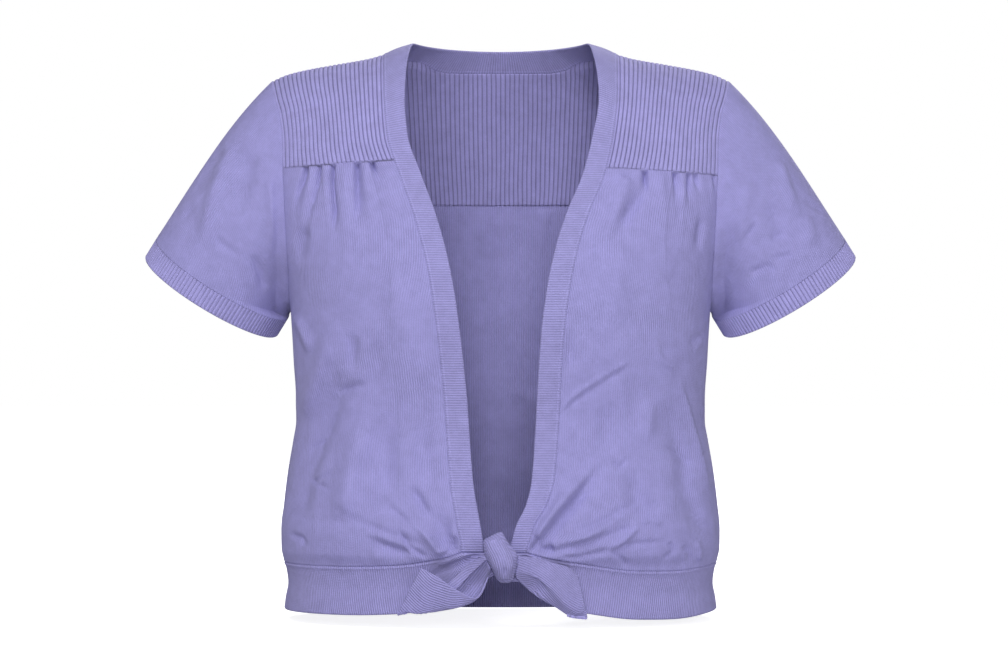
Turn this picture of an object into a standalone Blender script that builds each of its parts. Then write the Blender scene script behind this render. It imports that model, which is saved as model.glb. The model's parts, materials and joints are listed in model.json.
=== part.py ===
"""Short-sleeved knitted cardigan, open in front and tied at the waist, filled out as it is when it is worn.

Metres, +Z up, front towards -Y. The origin is midway between the two neck points, where the shoulders hold it.
"right" and "left" are the wearer's, so right lies at -X.

Every panel is a grid of points, in rows down the garment and columns across it, read from short tables of
sections. Neighbours share the points and the normals along their seam. A wall is that grid and the same grid moved
in by the cloth's thickness, drawn back from each seam by half a gap: Solidify would give each panel normals of its
own there, and the walls would then meet or part on the inside.
"""

import math
from collections import namedtuple

import bpy
from mathutils import Vector
from mathutils.kdtree import KDTree

MM = 0.001

# --- cloth
JERSEY = 0.0016  # wall of the plain knit
RIB = 0.0020  # wall of yokes, bands and cuffs
SEAM_GAP = 0.0003
SAME_PLACE = 0.00001  # points nearer than this are one point of a seam
MOST_MITRE = 1.5  # how much longer a wall's slanted edge may be than the wall is thick

# --- body
SQUARENESS = 2.4  # exponent of the body's rounded sections: 2 is an ellipse
Section = namedtuple("Section", "z half_width front back")
BODY = (  # half_width is the armhole's place down to the underarm, and the side's below it
    Section(-0.0365, 0.2079, 0.0800, 0.0900),
    Section(-0.0556, 0.2027, 0.0850, 0.0950),
    Section(-0.0685, 0.1985, 0.0880, 0.0980),
    Section(-0.0930, 0.1950, 0.0950, 0.1030),
    Section(-0.1180, 0.1943, 0.1020, 0.1080),
    Section(-0.1450, 0.1930, 0.1120, 0.1130),
    Section(-0.1820, 0.1915, 0.1220, 0.1130),
    Section(-0.2150, 0.1902, 0.1270, 0.1090),
    Section(-0.2460, 0.1905, 0.1280, 0.1030),
    Section(-0.2560, 0.1896, 0.1272, 0.1015),
    Section(-0.2680, 0.1889, 0.1260, 0.1000),
    Section(-0.2900, 0.1878, 0.1220, 0.0980),
    Section(-0.3260, 0.1856, 0.1150, 0.0950),
    Section(-0.3440, 0.1856, 0.1130, 0.0950),
    Section(-0.3626, 0.1885, 0.1135, 0.0970),
    Section(-0.3900, 0.1932, 0.1165, 0.1010),
    Section(-0.4170, 0.1966, 0.1220, 0.1070),
    Section(-0.4440, 0.1990, 0.1260, 0.1120),
    Section(-0.4600, 0.1987, 0.1240, 0.1125),
    Section(-0.4715, 0.1965, 0.1180, 0.1090),
    Section(-0.4850, 0.1955, 0.1170, 0.1060),
)

# --- shoulders and armholes
Ridge = namedtuple("Ridge", "x z")
SHOULDER = (  # the shoulder seam, from the neck band's seam to the armhole
    Ridge(0.1060, -0.0120),
    Ridge(0.1200, -0.0160),
    Ridge(0.1500, -0.0212),
    Ridge(0.1800, -0.0268),
    Ridge(0.1950, -0.0308),
    Ridge(0.2079, -0.0365),
)
NECK_SEAM_X = SHOULDER[0].x
SHOULDER_X, SHOULDER_Z = SHOULDER[-1]
NECK_POINT_X = 0.0800
UNDERARM_Z = -0.2460
ARMHOLE_FULLEST_Z = -0.1500
ARMHOLE_REACH = 0.0580  # half its width, front to back
ARMHOLE_ROUNDNESS = 1.9
FRONT_YOKE_ARCH = math.radians(72)  # how far round a quarter of an oval the yoke runs
BACK_YOKE_ARCH = math.radians(80)
NECK_ARCH_START = math.radians(50)  # the back yoke falls this steeply from the middle of the neck

# --- front edges: the band's seam and its free edge, in x, by height
Edge = namedtuple("Edge", "z seam edge")
FRONT_EDGES = {
    "right": (
        Edge(-0.0000, 0.1060, 0.0800),
        Edge(-0.0120, 0.1060, 0.0822),
        Edge(-0.0300, 0.1052, 0.0843),
        Edge(-0.0536, 0.1040, 0.0850),
        Edge(-0.0903, 0.1006, 0.0818),
        Edge(-0.1246, 0.0895, 0.0699),
        Edge(-0.1612, 0.0764, 0.0564),
        Edge(-0.2035, 0.0650, 0.0449),
        Edge(-0.2436, 0.0582, 0.0379),
        Edge(-0.3152, 0.0502, 0.0297),
        Edge(-0.3955, 0.0442, 0.0236),
        Edge(-0.4294, 0.0386, 0.0179),
        Edge(-0.4500, 0.0345, 0.0142),
    ),
    "left": (
        Edge(-0.0000, 0.1060, 0.0800),
        Edge(-0.0120, 0.1060, 0.0830),
        Edge(-0.0300, 0.1054, 0.0862),
        Edge(-0.0536, 0.1046, 0.0876),
        Edge(-0.0920, 0.1000, 0.0812),
        Edge(-0.1272, 0.0915, 0.0717),
        Edge(-0.1568, 0.0792, 0.0591),
        Edge(-0.1877, 0.0692, 0.0489),
        Edge(-0.2235, 0.0616, 0.0411),
        Edge(-0.2689, 0.0558, 0.0353),
        Edge(-0.3555, 0.0508, 0.0302),
        Edge(-0.3940, 0.0474, 0.0273),
        Edge(-0.4155, 0.0408, 0.0223),
        Edge(-0.4338, 0.0300, 0.0135),
        Edge(-0.4550, 0.0230, 0.0080),
    ),
}

# --- seams across the front: the yoke's at the band and at the armhole, the waist's by x
YOKE_SEAM_Z = {"right": (-0.1123, -0.1179), "left": (-0.1193, -0.1241)}
Waist = namedtuple("Waist", "x z")
FRONT_WAIST = {
    "right": (
        Waist(0.000, -0.4475),
        Waist(0.018, -0.4500),
        Waist(0.049, -0.4633),
        Waist(0.085, -0.4695),
        Waist(0.130, -0.4715),
        Waist(0.1955, -0.4720),
    ),
    "left": (
        Waist(0.000, -0.4475),
        Waist(0.015, -0.4540),
        Waist(0.039, -0.4633),
        Waist(0.062, -0.4677),
        Waist(0.112, -0.4750),
        Waist(0.150, -0.4760),
        Waist(0.1955, -0.4720),
    ),
}
BACK_YOKE_SEAM_Z = -0.1450
BACK_WAIST_DROP = 0.0090  # how much lower the waist seam lies in the middle of the back

# --- the gathers under the yokes and the largest folds: each runs from a point to another, seen from the front or
# the back, and stands out by its height, in millimetres; one with a height below zero is a trough
Fold = namedtuple("Fold", "x z to_x to_z reach height")
FOLDS = {
    "right": (
        Fold(122, -124, 112, -172, 7, -4.5),
        Fold(149, -124, 144, -178, 7, -5.0),
        Fold(173, -126, 171, -162, 7, -4.0),
        Fold(143, -225, 172, -332, 14, 3.5),
        Fold(147, -391, 181, -440, 14, -4.5),
        Fold(60, -395, 34, -440, 12, -3.0),
        Fold(110, -425, 64, -456, 10, -3.0),
    ),
    "left": (
        Fold(122, -124, 114, -160, 7, -4.0),
        Fold(149, -124, 144, -172, 7, -5.0),
        Fold(173, -126, 171, -168, 7, -4.0),
        Fold(154, -286, 184, -405, 14, 3.5),
        Fold(148, -343, 176, -432, 15, -5.0),
        Fold(92, -376, 40, -438, 13, -5.0),
        Fold(149, -448, 66, -462, 10, -5.0),
    ),
    "back": (
        Fold(-165, -262, -120, -330, 16, -4.0),
        Fold(160, -258, 105, -318, 16, -4.5),
        Fold(-176, -350, -120, -440, 16, -4.5),
        Fold(172, -365, 132, -446, 16, -4.0),
        Fold(-60, -400, -35, -455, 14, -3.5),
        Fold(38, -392, 52, -452, 14, -3.0),
    ),
}

# --- waistband and neck band
BandRow = namedtuple("BandRow", "drop out")
WAISTBAND_HEIGHT = 0.0425
TIE_HEIGHT = 0.0250  # the waistband's height where it goes into the knot
TIE_STARTS_X = 0.0120
TIE_TAPER = 0.0450
WAISTBAND = (  # how far the band pulls in below its seam
    BandRow(0.00, 0.0000),
    BandRow(0.15, -0.0022),
    BandRow(0.45, -0.0038),
    BandRow(0.75, -0.0016),
    BandRow(1.00, -0.0002),
)
NECK_SEAM_BACK = 0.0830  # the neck seam's and the free edge's furthest points back
NECK_EDGE_BACK = 0.0720
NECK_SEAM_HEIGHTS = (  # the back neck seam's height, by x
    Ridge(0.0000, -0.0223),
    Ridge(0.0456, -0.0225),
    Ridge(0.0600, -0.0205),
    Ridge(0.0690, -0.0158),
    Ridge(0.0765, -0.0130),
    Ridge(0.1060, -0.0120),
)
NECK_EDGE_DIP = 0.0030

# --- sleeves: the cuff's free edge is an oval on the chord from its highest to its lowest point
CUFF_TOP = Vector((0.3226, 0.0, -0.1950))
CUFF_BOTTOM = Vector((0.2035, 0.0, -0.2685))
CUFF_HEIGHT = 0.0190
CUFF_HALF_DEPTH = 0.0500
CUFF_TILT = math.radians(14)  # its front edge lies further down the sleeve
SLEEVE_DIRECTION = Vector((CUFF_TOP.z - CUFF_BOTTOM.z, 0.0, CUFF_BOTTOM.x - CUFF_TOP.x)).normalized()
SLEEVE_LEAVES = (0.30, 0.80)  # 0 leaves the armhole straight sideways, 1 straight to the cuff: under the arm, on top
SLEEVE_ARRIVES = 0.6
SLEEVE_SIDE_FULLNESS = 0.0040

# --- how finely the panels are divided
ACROSS = (0.0, 0.16, 0.31, 0.45, 0.58, 0.70, 0.81, 0.91, 1.0)
YOKE_ROWS = 6
ARMHOLE_ROWS = 7
DOWN = (0.08, 0.17, 0.27, 0.37, 0.47, 0.57, 0.67, 0.76, 0.84, 0.91, 0.96, 1.0)
NECK_STEPS = 10
SLEEVE_ROWS = 6
BAND_ACROSS = (0.0, 0.5, 1.0)

# --- knot and tie ends, in millimetres, as seen from the front
KnotRow = namedtuple("KnotRow", "z left right front back")
KNOT = (
    KnotRow(-438.5, -1.5, 2.0, -138.0, -132.0),
    KnotRow(-441.5, -8.0, 3.5, -144.0, -127.5),
    KnotRow(-446.0, -14.5, 6.0, -149.0, -126.6),
    KnotRow(-452.5, -14.3, 11.0, -153.0, -126.4),
    KnotRow(-459.5, -12.4, 15.2, -155.0, -126.4),
    KnotRow(-466.5, -9.2, 14.6, -154.5, -126.4),
    KnotRow(-473.5, -5.6, 12.6, -151.0, -126.6),
    KnotRow(-479.5, -3.0, 11.2, -145.0, -128.0),
    KnotRow(-482.5, 0.5, 8.0, -139.0, -131.0),
)
KNOT_SQUARENESS = 2.5
KNOT_SIDES = 16
WrapRow = namedtuple("WrapRow", "left_x left_z right_x right_z")
WRAP = (  # the strip over the knot, by its two edges
    WrapRow(-13.6, -447.0, -1.0, -441.0),
    WrapRow(-13.0, -453.0, 4.6, -447.5),
    WrapRow(-10.6, -460.5, 10.4, -455.5),
    WrapRow(-7.2, -468.0, 12.0, -464.5),
    WrapRow(-4.0, -474.5, 10.6, -473.0),
    WrapRow(-1.2, -479.0, 9.0, -479.0),
)
WRAP_COLUMNS = 6
WRAP_STANDS_OFF = 0.0013
TIE_COLUMNS = 8
# Each row crosses the tie, from the knot to the free end: its upper edge, two points between, its other edge.
TIE_ENDS = {
    "right": (
        ((-12.9, -138.0, -458.6), (-12.0, -139.0, -462.0), (-10.4, -139.5, -465.5), (-8.5, -139.5, -469.5)),
        ((-29.2, -127.0, -468.2), (-23.1, -126.6, -476.9), (-15.2, -128.0, -483.9), (-10.6, -132.5, -478.2)),
        ((-44.4, -124.4, -483.0), (-37.0, -124.8, -494.3), (-26.6, -128.0, -500.0), (-20.5, -133.0, -495.6)),
        ((-63.1, -119.5, -496.1), (-56.1, -120.5, -506.5), (-43.2, -127.0, -504.0), (-39.6, -131.0, -487.8)),
        ((-80.5, -115.5, -508.2), (-71.1, -119.0, -511.0), (-62.0, -123.0, -497.0), (-54.4, -126.0, -478.2)),
        ((-90.1, -114.0, -512.2), (-84.4, -116.5, -500.4), (-77.0, -119.0, -485.6), (-69.2, -121.0, -470.4)),
    ),
    "left": (
        ((15.7, -139.0, -459.1), (15.4, -139.5, -464.7), (14.1, -139.0, -470.8), (12.8, -137.0, -476.0)),
        ((30.9, -129.5, -460.8), (30.5, -132.0, -468.2), (29.2, -131.5, -477.4), (32.6, -127.0, -481.3)),
        ((45.7, -127.5, -465.2), (44.8, -130.0, -477.8), (44.0, -129.5, -487.8), (42.2, -124.5, -493.0)),
        ((58.8, -124.5, -469.1), (58.8, -127.0, -484.8), (56.6, -126.5, -500.4), (50.9, -122.0, -503.0)),
        ((65.7, -122.5, -473.9), (69.2, -124.0, -489.1), (70.1, -123.5, -508.2), (60.5, -119.5, -512.6)),
        ((68.3, -121.5, -476.6), (72.3, -122.5, -492.6), (74.9, -122.5, -505.6), (75.9, -120.5, -514.8)),
    ),
}

SIDES = {"right": -1, "left": 1}
LAVENDER = {  # sRGB of each kind of cloth in even light
    "jersey": (0.573, 0.561, 0.784),
    "yoke_rib": (0.580, 0.565, 0.784),
    "band_rib": (0.600, 0.588, 0.812),
    "tie_rib": (0.573, 0.561, 0.776),
}
KNIT_ROUGHNESS = 0.9


def lerp(a, b, share):
    return a + (b - a) * share


def smooth(share):
    share = min(max(share, 0.0), 1.0)
    return share * share * (3 - 2 * share)


def read(rows, column, at):
    """A column of a table at a value of its first column, on a smooth curve that never overshoots its rows."""
    rows = sorted(rows)
    xs = [row[0] for row in rows]
    ys = [getattr(row, column) for row in rows]
    steps = [(ys[i + 1] - ys[i]) / (xs[i + 1] - xs[i]) for i in range(len(xs) - 1)]
    slopes = [steps[0]]
    slopes += [2 * a * b / (a + b) if a * b > 0 else 0.0 for a, b in zip(steps, steps[1:])]
    slopes += [steps[-1]]
    at = min(max(at, xs[0]), xs[-1])
    i = max(k for k in range(len(steps)) if xs[k] <= at)
    width = xs[i + 1] - xs[i]
    t = (at - xs[i]) / width
    bend = (1 - t) * slopes[i] * width - t * slopes[i + 1] * width - (1 - 2 * t) * (ys[i + 1] - ys[i])
    return lerp(ys[i], ys[i + 1], t) + t * (1 - t) * bend


# ---------------------------------------------------------------- the body's surface


def armhole_reach(z):
    """How far the armhole stands before and behind its middle at a height: it is an oval."""
    if not UNDERARM_Z < z < SHOULDER_Z:
        return 0.0
    end = SHOULDER_Z if z > ARMHOLE_FULLEST_Z else UNDERARM_Z
    share = abs((z - ARMHOLE_FULLEST_Z) / (end - ARMHOLE_FULLEST_Z))
    return ARMHOLE_REACH * (1 - share**ARMHOLE_ROUNDNESS) ** (1 / ARMHOLE_ROUNDNESS)


def section(z, face):
    """(half width, depth, angle at the side) of the rounded section at a height, for the front or the back."""
    side = read(BODY, "half_width", z)
    depth = read(BODY, "front" if face < 0 else "back", z)
    width = side / (1 - (armhole_reach(z) / depth) ** SQUARENESS) ** (1 / SQUARENESS)
    return width, depth, math.acos((side / width) ** (SQUARENESS / 2))


def on_section(z, face, angle):
    """The point of a section at an angle: 0 is the left side, a right angle the middle and two the right side."""
    width, depth, _ = section(z, face)
    across, deep = math.cos(angle), math.sin(angle)
    x = math.copysign(abs(across) ** (2 / SQUARENESS), across) * width
    return Vector((x, face * depth * max(deep, 0.0) ** (2 / SQUARENESS), z))


def angle_at(x, z, face):
    """The angle at which a section passes x."""
    width, _, _ = section(z, face)
    share = min(abs(x) / width, 1.0) ** (SQUARENESS / 2)
    return math.acos(math.copysign(share, x))


def outwards(z, face, angle):
    """The unit vector square to a section, level, at an angle."""
    width, depth, _ = section(z, face)
    across, deep = math.cos(angle), max(math.sin(angle), 0.0)
    steep = 2 - 2 / SQUARENESS
    x = math.copysign(abs(across) ** steep, across) / width
    return Vector((x, face * deep**steep / depth, 0.0)).normalized()


def folded(p, away, folds):
    """A point moved out or in along a direction by the folds that pass it: each fades as a bell on both sides."""
    height = 0.0
    for fold in folds:
        start = Vector((fold.x, fold.z)) * MM
        along = Vector((fold.to_x, fold.to_z)) * MM - start
        place = Vector((p.x, p.z)) - start
        share = min(max(place.dot(along) / along.length_squared, 0.0), 1.0)
        height += fold.height * MM * math.exp(-((place - along * share).length_squared / (fold.reach * MM) ** 2))
    return p + away * height


def folded_panel(rows, aways, folds):
    """A panel with its folds: its outermost rows and columns are seams, and stay."""
    inside = slice(1, -1)
    for row, line in zip(rows[inside], aways[inside]):
        row[inside] = [folded(p, away, folds) for p, away in zip(row[inside], line[inside])]
    return rows


def armhole_heights(top, rows):
    """Heights down the armhole from a seam to the underarm, closer together where the oval turns."""
    reach = ARMHOLE_FULLEST_Z - UNDERARM_Z
    start = math.asin((ARMHOLE_FULLEST_Z - top) / reach)
    angles = [lerp(start, math.pi / 2, i / rows) for i in range(rows + 1)]
    return [ARMHOLE_FULLEST_Z - reach * math.sin(angle) for angle in angles]


def arch(top, bottom, start, stop, share):
    """(y, z) on the arc of an oval from a point on the shoulder or neck to a point of the yoke's lower seam."""
    angle = lerp(start, stop, share)
    forward = (math.sin(angle) - math.sin(start)) / (math.sin(stop) - math.sin(start))
    down = (math.cos(start) - math.cos(angle)) / (math.cos(start) - math.cos(stop))
    return lerp(top[1], bottom[1], forward), lerp(top[2], bottom[2], down)


def mirrored(rows, side):
    """Rows worked out on the left, moved to a side."""
    return [[Vector((SIDES[side] * p.x, p.y, p.z)) for p in row] for row in rows]


# ---------------------------------------------------------------- fronts and front yokes


def shoulder_point(share):
    x = lerp(NECK_SEAM_X, SHOULDER_X, share)
    return Vector((x, 0.0, read(SHOULDER, "z", x)))


def front_yoke(side):
    """Rows from the shoulder seam to the yoke's lower seam, and columns from the band to the armhole."""
    edges = FRONT_EDGES[side]
    at_band, at_armhole = YOKE_SEAM_Z[side]
    corners = (
        (shoulder_point(0), on_section(at_band, -1, angle_at(read(edges, "seam", at_band), at_band, -1))),
        (shoulder_point(1), on_section(at_armhole, -1, section(at_armhole, -1)[2])),
    )
    rows = []
    for i in range(YOKE_ROWS + 1):
        v = i / YOKE_ROWS
        band_z, armhole_z = (arch(top, bottom, 0, FRONT_YOKE_ARCH, v)[1] for top, bottom in corners)
        inner, outer = read(edges, "seam", band_z), read(BODY, "half_width", armhole_z)
        row = []
        for share in ACROSS:
            seam_z = lerp(at_band, at_armhole, share)
            seam_x = lerp(read(edges, "seam", seam_z), read(BODY, "half_width", seam_z), share)
            foot = on_section(seam_z, -1, angle_at(seam_x, seam_z, -1))
            y, z = arch(shoulder_point(share), foot, 0, FRONT_YOKE_ARCH, v)
            row.append(Vector((lerp(inner, outer, share), y, z)))
        rows.append(row)
    return rows


def front(side):
    """Rows from the yoke's seam to the waist seam, and columns from the band to the armhole and the side seam."""
    edges = FRONT_EDGES[side]
    at_band, at_armhole = YOKE_SEAM_Z[side]
    heights = armhole_heights(at_armhole, ARMHOLE_ROWS)
    drops = [(at_armhole - z) / (at_armhole - UNDERARM_Z) for z in heights]
    rows = [[] for _ in range(len(drops) + len(DOWN))]
    aways = [[] for _ in rows]
    for share in ACROSS:
        seam_z = lerp(at_band, at_armhole, share)
        inner, outer = read(edges, "seam", seam_z), read(BODY, "half_width", seam_z)
        band_angle = angle_at(inner, seam_z, -1)
        side_angle = section(seam_z, -1)[2]
        turn = (band_angle - angle_at(lerp(inner, outer, share), seam_z, -1)) / (band_angle - side_angle)
        waist_x = lerp(FRONT_EDGES[side][-1].seam, BODY[-1].half_width, math.sin(turn * math.pi / 2))
        waist_z = read(FRONT_WAIST[side], "z", waist_x)
        levels = [lerp(seam_z, UNDERARM_Z, drop) for drop in drops]
        levels += [lerp(UNDERARM_Z, waist_z, share_down) for share_down in DOWN]
        for row, line, z in zip(rows, aways, levels):
            angle = lerp(angle_at(read(edges, "seam", z), z, -1), section(z, -1)[2], turn)
            row.append(on_section(z, -1, angle))
            line.append(outwards(z, -1, angle))
    return folded_panel(rows, aways, FOLDS[side])


def front_band(side):
    """Rows from the waist up to the neck point, and columns from the band's seam to its free edge."""
    edges = FRONT_EDGES[side]
    yoke, lower = front_yoke(side), front(side)
    tops = [lerp(shoulder_point(0), Vector((NECK_POINT_X, 0.0, 0.0)), share) for share in BAND_ACROSS]
    rows = []
    for seam_row in reversed(lower):
        z = seam_row[0].z
        xs = [lerp(read(edges, "seam", z), read(edges, "edge", z), share) for share in BAND_ACROSS]
        rows.append([on_section(z, -1, angle_at(x, z, -1)) for x in xs])
    feet = rows[-1]
    for i in reversed(range(YOKE_ROWS)):
        v = i / YOKE_ROWS
        places = [arch(top, foot, 0, FRONT_YOKE_ARCH, v) for top, foot in zip(tops, feet)]
        inner, outer = read(edges, "seam", yoke[i][0].z), read(edges, "edge", places[-1][1])
        rows.append([Vector((lerp(inner, outer, share), y, z)) for share, (y, z) in zip(BAND_ACROSS, places)])
    return rows


# ---------------------------------------------------------------- back, back yoke and back neck


def neck_angles():
    return [math.pi * i / NECK_STEPS for i in range(NECK_STEPS + 1)]


def neck_seam_point(angle):
    x = NECK_SEAM_X * math.cos(angle)
    z = read(NECK_SEAM_HEIGHTS, "z", abs(x))
    return Vector((x, NECK_SEAM_BACK * math.sin(angle), z))


def back_tops():
    """(point, share of the shoulder, start of its arch) for each column of the back, from left to right."""
    shoulder = [(shoulder_point(share), share, 0.0) for share in reversed(ACROSS)]
    neck = [(neck_seam_point(a), 0.0, NECK_ARCH_START * math.sin(a) ** 2) for a in neck_angles()[1:-1]]
    far = [(Vector((-p.x, p.y, p.z)), share, start) for p, share, start in reversed(shoulder)]
    return shoulder + neck + far


def back_yoke():
    """Rows from the shoulders and the neck to the straight seam, and columns from the left armhole to the right."""
    z_seam = BACK_YOKE_SEAM_Z
    outer = read(BODY, "half_width", z_seam)
    rows = [[] for _ in range(YOKE_ROWS + 1)]
    for top, share, start in back_tops():
        foot_x = top.x * outer / SHOULDER_X
        foot = on_section(z_seam, 1, angle_at(foot_x, z_seam, 1))
        armhole_foot = on_section(z_seam, 1, section(z_seam, 1)[2])
        for i, row in enumerate(rows):
            v = i / YOKE_ROWS
            y, z = arch(top, foot, start, BACK_YOKE_ARCH, v)
            _, armhole_z = arch(shoulder_point(1), armhole_foot, 0, BACK_YOKE_ARCH, v)
            down = (armhole_z - SHOULDER_Z) / (z_seam - SHOULDER_Z)
            bow = read(BODY, "half_width", armhole_z) - lerp(SHOULDER_X, outer, down)
            row.append(Vector((lerp(top.x, foot.x, down) + math.copysign(share * bow, top.x), y, z)))
    return rows


def back():
    """Rows from the yoke's seam to the waist seam, and columns from the left side to the right."""
    z_seam = BACK_YOKE_SEAM_Z
    side_angle = section(z_seam, 1)[2]
    feet = back_yoke()[-1]
    turns = [(angle_at(p.x, z_seam, 1) - side_angle) / (math.pi - 2 * side_angle) for p in feet]
    levels = armhole_heights(z_seam, ARMHOLE_ROWS)
    rows = [[] for _ in range(len(levels) + len(DOWN))]
    aways = [[] for _ in rows]
    for turn in turns:
        waist_z = FRONT_WAIST["right"][-1].z - BACK_WAIST_DROP * math.sin(math.pi * turn) ** 2
        heights = levels + [lerp(UNDERARM_Z, waist_z, share) for share in DOWN]
        for row, line, z in zip(rows, aways, heights):
            start = section(z, 1)[2]
            angle = lerp(start, math.pi - start, turn)
            row.append(on_section(z, 1, angle))
            line.append(outwards(z, 1, angle))
    return folded_panel(rows, aways, FOLDS["back"])


def back_neck_band():
    """Rows round the back of the neck from the right neck point to the left, columns from seam to free edge."""
    rows = []
    for angle in reversed(neck_angles()):
        seam = neck_seam_point(angle)
        dip = NECK_EDGE_DIP * math.sin(angle) ** 2
        edge = Vector((NECK_POINT_X * math.cos(angle), NECK_EDGE_BACK * math.sin(angle), -dip))
        rows.append([lerp(seam, edge, share) for share in BAND_ACROSS])
    return rows


# ---------------------------------------------------------------- waistband


def waistband_rows(seam_row, heights):
    """Rows below a row of seam points: each goes down by its band's height, and in or out from the body."""
    rows = []
    for drop, out in WAISTBAND:
        row = []
        for p, height in zip(seam_row, heights):
            width, depth = BODY[-1].half_width, abs(BODY[-1].front)
            away = Vector((p.x / width**2, p.y / depth**2, 0.0)).normalized()
            narrowed = smooth((height - TIE_HEIGHT) / (WAISTBAND_HEIGHT - TIE_HEIGHT))
            row.append(p + away * out * narrowed - Vector((0.0, 0.0, drop * height)))
        rows.append(row)
    return rows


def front_waistband(side):
    """From the side seam to the middle of the knot's back: the last stretch is the tie going into the knot."""
    band_foot = front_band(side)[0]
    seam_row = list(reversed(front(side)[-1])) + band_foot[1:]
    for share in (0.5, 1.0):
        x = lerp(band_foot[-1].x, SEAM_GAP, share)
        z = read(FRONT_WAIST[side], "z", x)
        z = lerp(band_foot[-1].z, z, share)
        seam_row.append(on_section(z, -1, angle_at(x, z, -1)))
    taper = WAISTBAND_HEIGHT - TIE_HEIGHT
    heights = [TIE_HEIGHT + taper * smooth((p.x - TIE_STARTS_X) / TIE_TAPER) for p in seam_row]
    return waistband_rows(seam_row, heights)


def back_waistband():
    seam_row = back()[-1]
    return waistband_rows(seam_row, [WAISTBAND_HEIGHT] * len(seam_row))


# ---------------------------------------------------------------- sleeves


def armhole_ring(side):
    """The armhole's points in order, from the underarm up the front, over the shoulder and down the back."""
    up = [row[-1] for row in reversed(front(side)[: ARMHOLE_ROWS + 1])]
    over = [row[-1] for row in reversed(front_yoke(side)[:-1])]
    down = [row[0] for row in back_yoke()[1:]]
    under = [row[0] for row in back()[1:ARMHOLE_ROWS]]
    return up + over + down + under, len(up) + len(over) - 1


def cuff_ring(angles, along):
    """The sleeve's oval at a distance up from the cuff's free edge; angle 0 is its lowest point."""
    chord = CUFF_TOP - CUFF_BOTTOM
    half, up = chord.length / 2, chord.normalized()
    forward = Vector((0.0, -math.cos(CUFF_TILT), 0.0)) + SLEEVE_DIRECTION * math.sin(CUFF_TILT)
    centre = (CUFF_TOP + CUFF_BOTTOM) / 2 - SLEEVE_DIRECTION * along
    return [centre - up * half * math.cos(a) + forward * CUFF_HALF_DEPTH * math.sin(a) for a in angles]


def ring_angles(ring, top):
    """Angles for the cuff's oval: half a turn up the front and half down the back, by length along the armhole."""
    lengths = [(b - a).length for a, b in zip(ring, ring[1:] + ring[:1])]
    front_length, back_length = sum(lengths[:top]), sum(lengths[top:])
    angles = [math.pi * sum(lengths[:i]) / front_length for i in range(top + 1)]
    angles += [math.pi * (1 + sum(lengths[top:i]) / back_length) for i in range(top + 1, len(ring))]
    return angles


def sleeve(side):
    """Rings from the armhole to the cuff's seam: each line leaves the armhole outwards and turns down the sleeve."""
    ring, top = armhole_ring(side)
    angles = ring_angles(ring, top)
    cuff = cuff_ring(angles, CUFF_HEIGHT)
    rows = [[] for _ in range(SLEEVE_ROWS + 1)]
    for start, end, angle in zip(ring, cuff, angles):
        straight = end - start
        reach = straight.length
        over = (1 - math.cos(angle)) / 2
        leave = lerp(Vector((1.0, 0.0, 0.0)), straight / reach, lerp(*SLEEVE_LEAVES, over)).normalized() * reach
        arrive = lerp(straight, SLEEVE_DIRECTION * reach, SLEEVE_ARRIVES)
        outward = Vector((0.0, -math.sin(angle), 0.0)) * SLEEVE_SIDE_FULLNESS
        for i, row in enumerate(rows):
            t = i / SLEEVE_ROWS
            bend = (1 - t) * (leave - straight) - t * (arrive - straight)
            row.append(lerp(start, end, t) + t * (1 - t) * (bend + 4 * outward))
    return rows


def cuff(side):
    angles = ring_angles(*armhole_ring(side))
    return [cuff_ring(angles, CUFF_HEIGHT * (1 - share)) for share in (0.0, 0.5, 1.0)]


# ---------------------------------------------------------------- knot and tie ends


def knot_front(x, z):
    """How far forward the knot's rounded solid stands at a place seen from the front, in millimetres."""
    left, right, fore, back_y = (read(KNOT, name, z) for name in ("left", "right", "front", "back"))
    share = min(abs(2 * x - left - right) / (right - left), 1.0)
    middle = (fore + back_y) / 2
    return middle + (fore - middle) * (1 - share**KNOT_SQUARENESS) ** (1 / KNOT_SQUARENESS)


def knot_rings():
    rows = []
    for row in reversed(KNOT):
        centre = Vector(((row.left + row.right) / 2, (row.front + row.back) / 2, row.z))
        ring = []
        for j in range(KNOT_SIDES):
            angle = 2 * math.pi * j / KNOT_SIDES
            across, deep = math.cos(angle), math.sin(angle)
            x = math.copysign(abs(across) ** (2 / KNOT_SQUARENESS), across) * (row.right - row.left) / 2
            y = math.copysign(abs(deep) ** (2 / KNOT_SQUARENESS), deep) * (row.back - row.front) / 2
            ring.append((centre + Vector((x, y, 0.0))) * MM)
        rows.append(ring)
    return rows


def wrap_rows():
    """The strip over the knot: the knot's own points between two edges, moved out from them."""
    rows = []
    for row in WRAP:
        points = []
        for j in range(WRAP_COLUMNS + 1):
            share = j / WRAP_COLUMNS
            x, z = lerp(row.left_x, row.right_x, share), lerp(row.left_z, row.right_z, share)
            points.append(Vector((x * MM, knot_front(x, z) * MM - WRAP_STANDS_OFF, z * MM)))
        rows.append(points)
    return rows


def through(points, share):
    """A smooth curve through points, at a share of their number."""
    last = len(points) - 1
    i = min(int(share * last), last - 1)
    t = share * last - i
    before, start, stop, after = (points[min(max(i + k, 0), last)] for k in (-1, 0, 1, 2))
    leave, arrive = (stop - before) / 2, (after - start) / 2
    bend = (1 - t) * (leave - (stop - start)) - t * (arrive - (stop - start))
    return lerp(start, stop, t) + bend * t * (1 - t)


def tie_end(side):
    rows = []
    for points in TIE_ENDS[side]:
        points = [Vector(p) * MM for p in points]
        rows.append([through(points, j / TIE_COLUMNS) for j in range(TIE_COLUMNS + 1)])
    steps = 2 * (len(rows) - 1)
    return [[through(list(column), i / steps) for column in zip(*rows)] for i in range(steps + 1)]


# ---------------------------------------------------------------- making the objects


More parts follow.
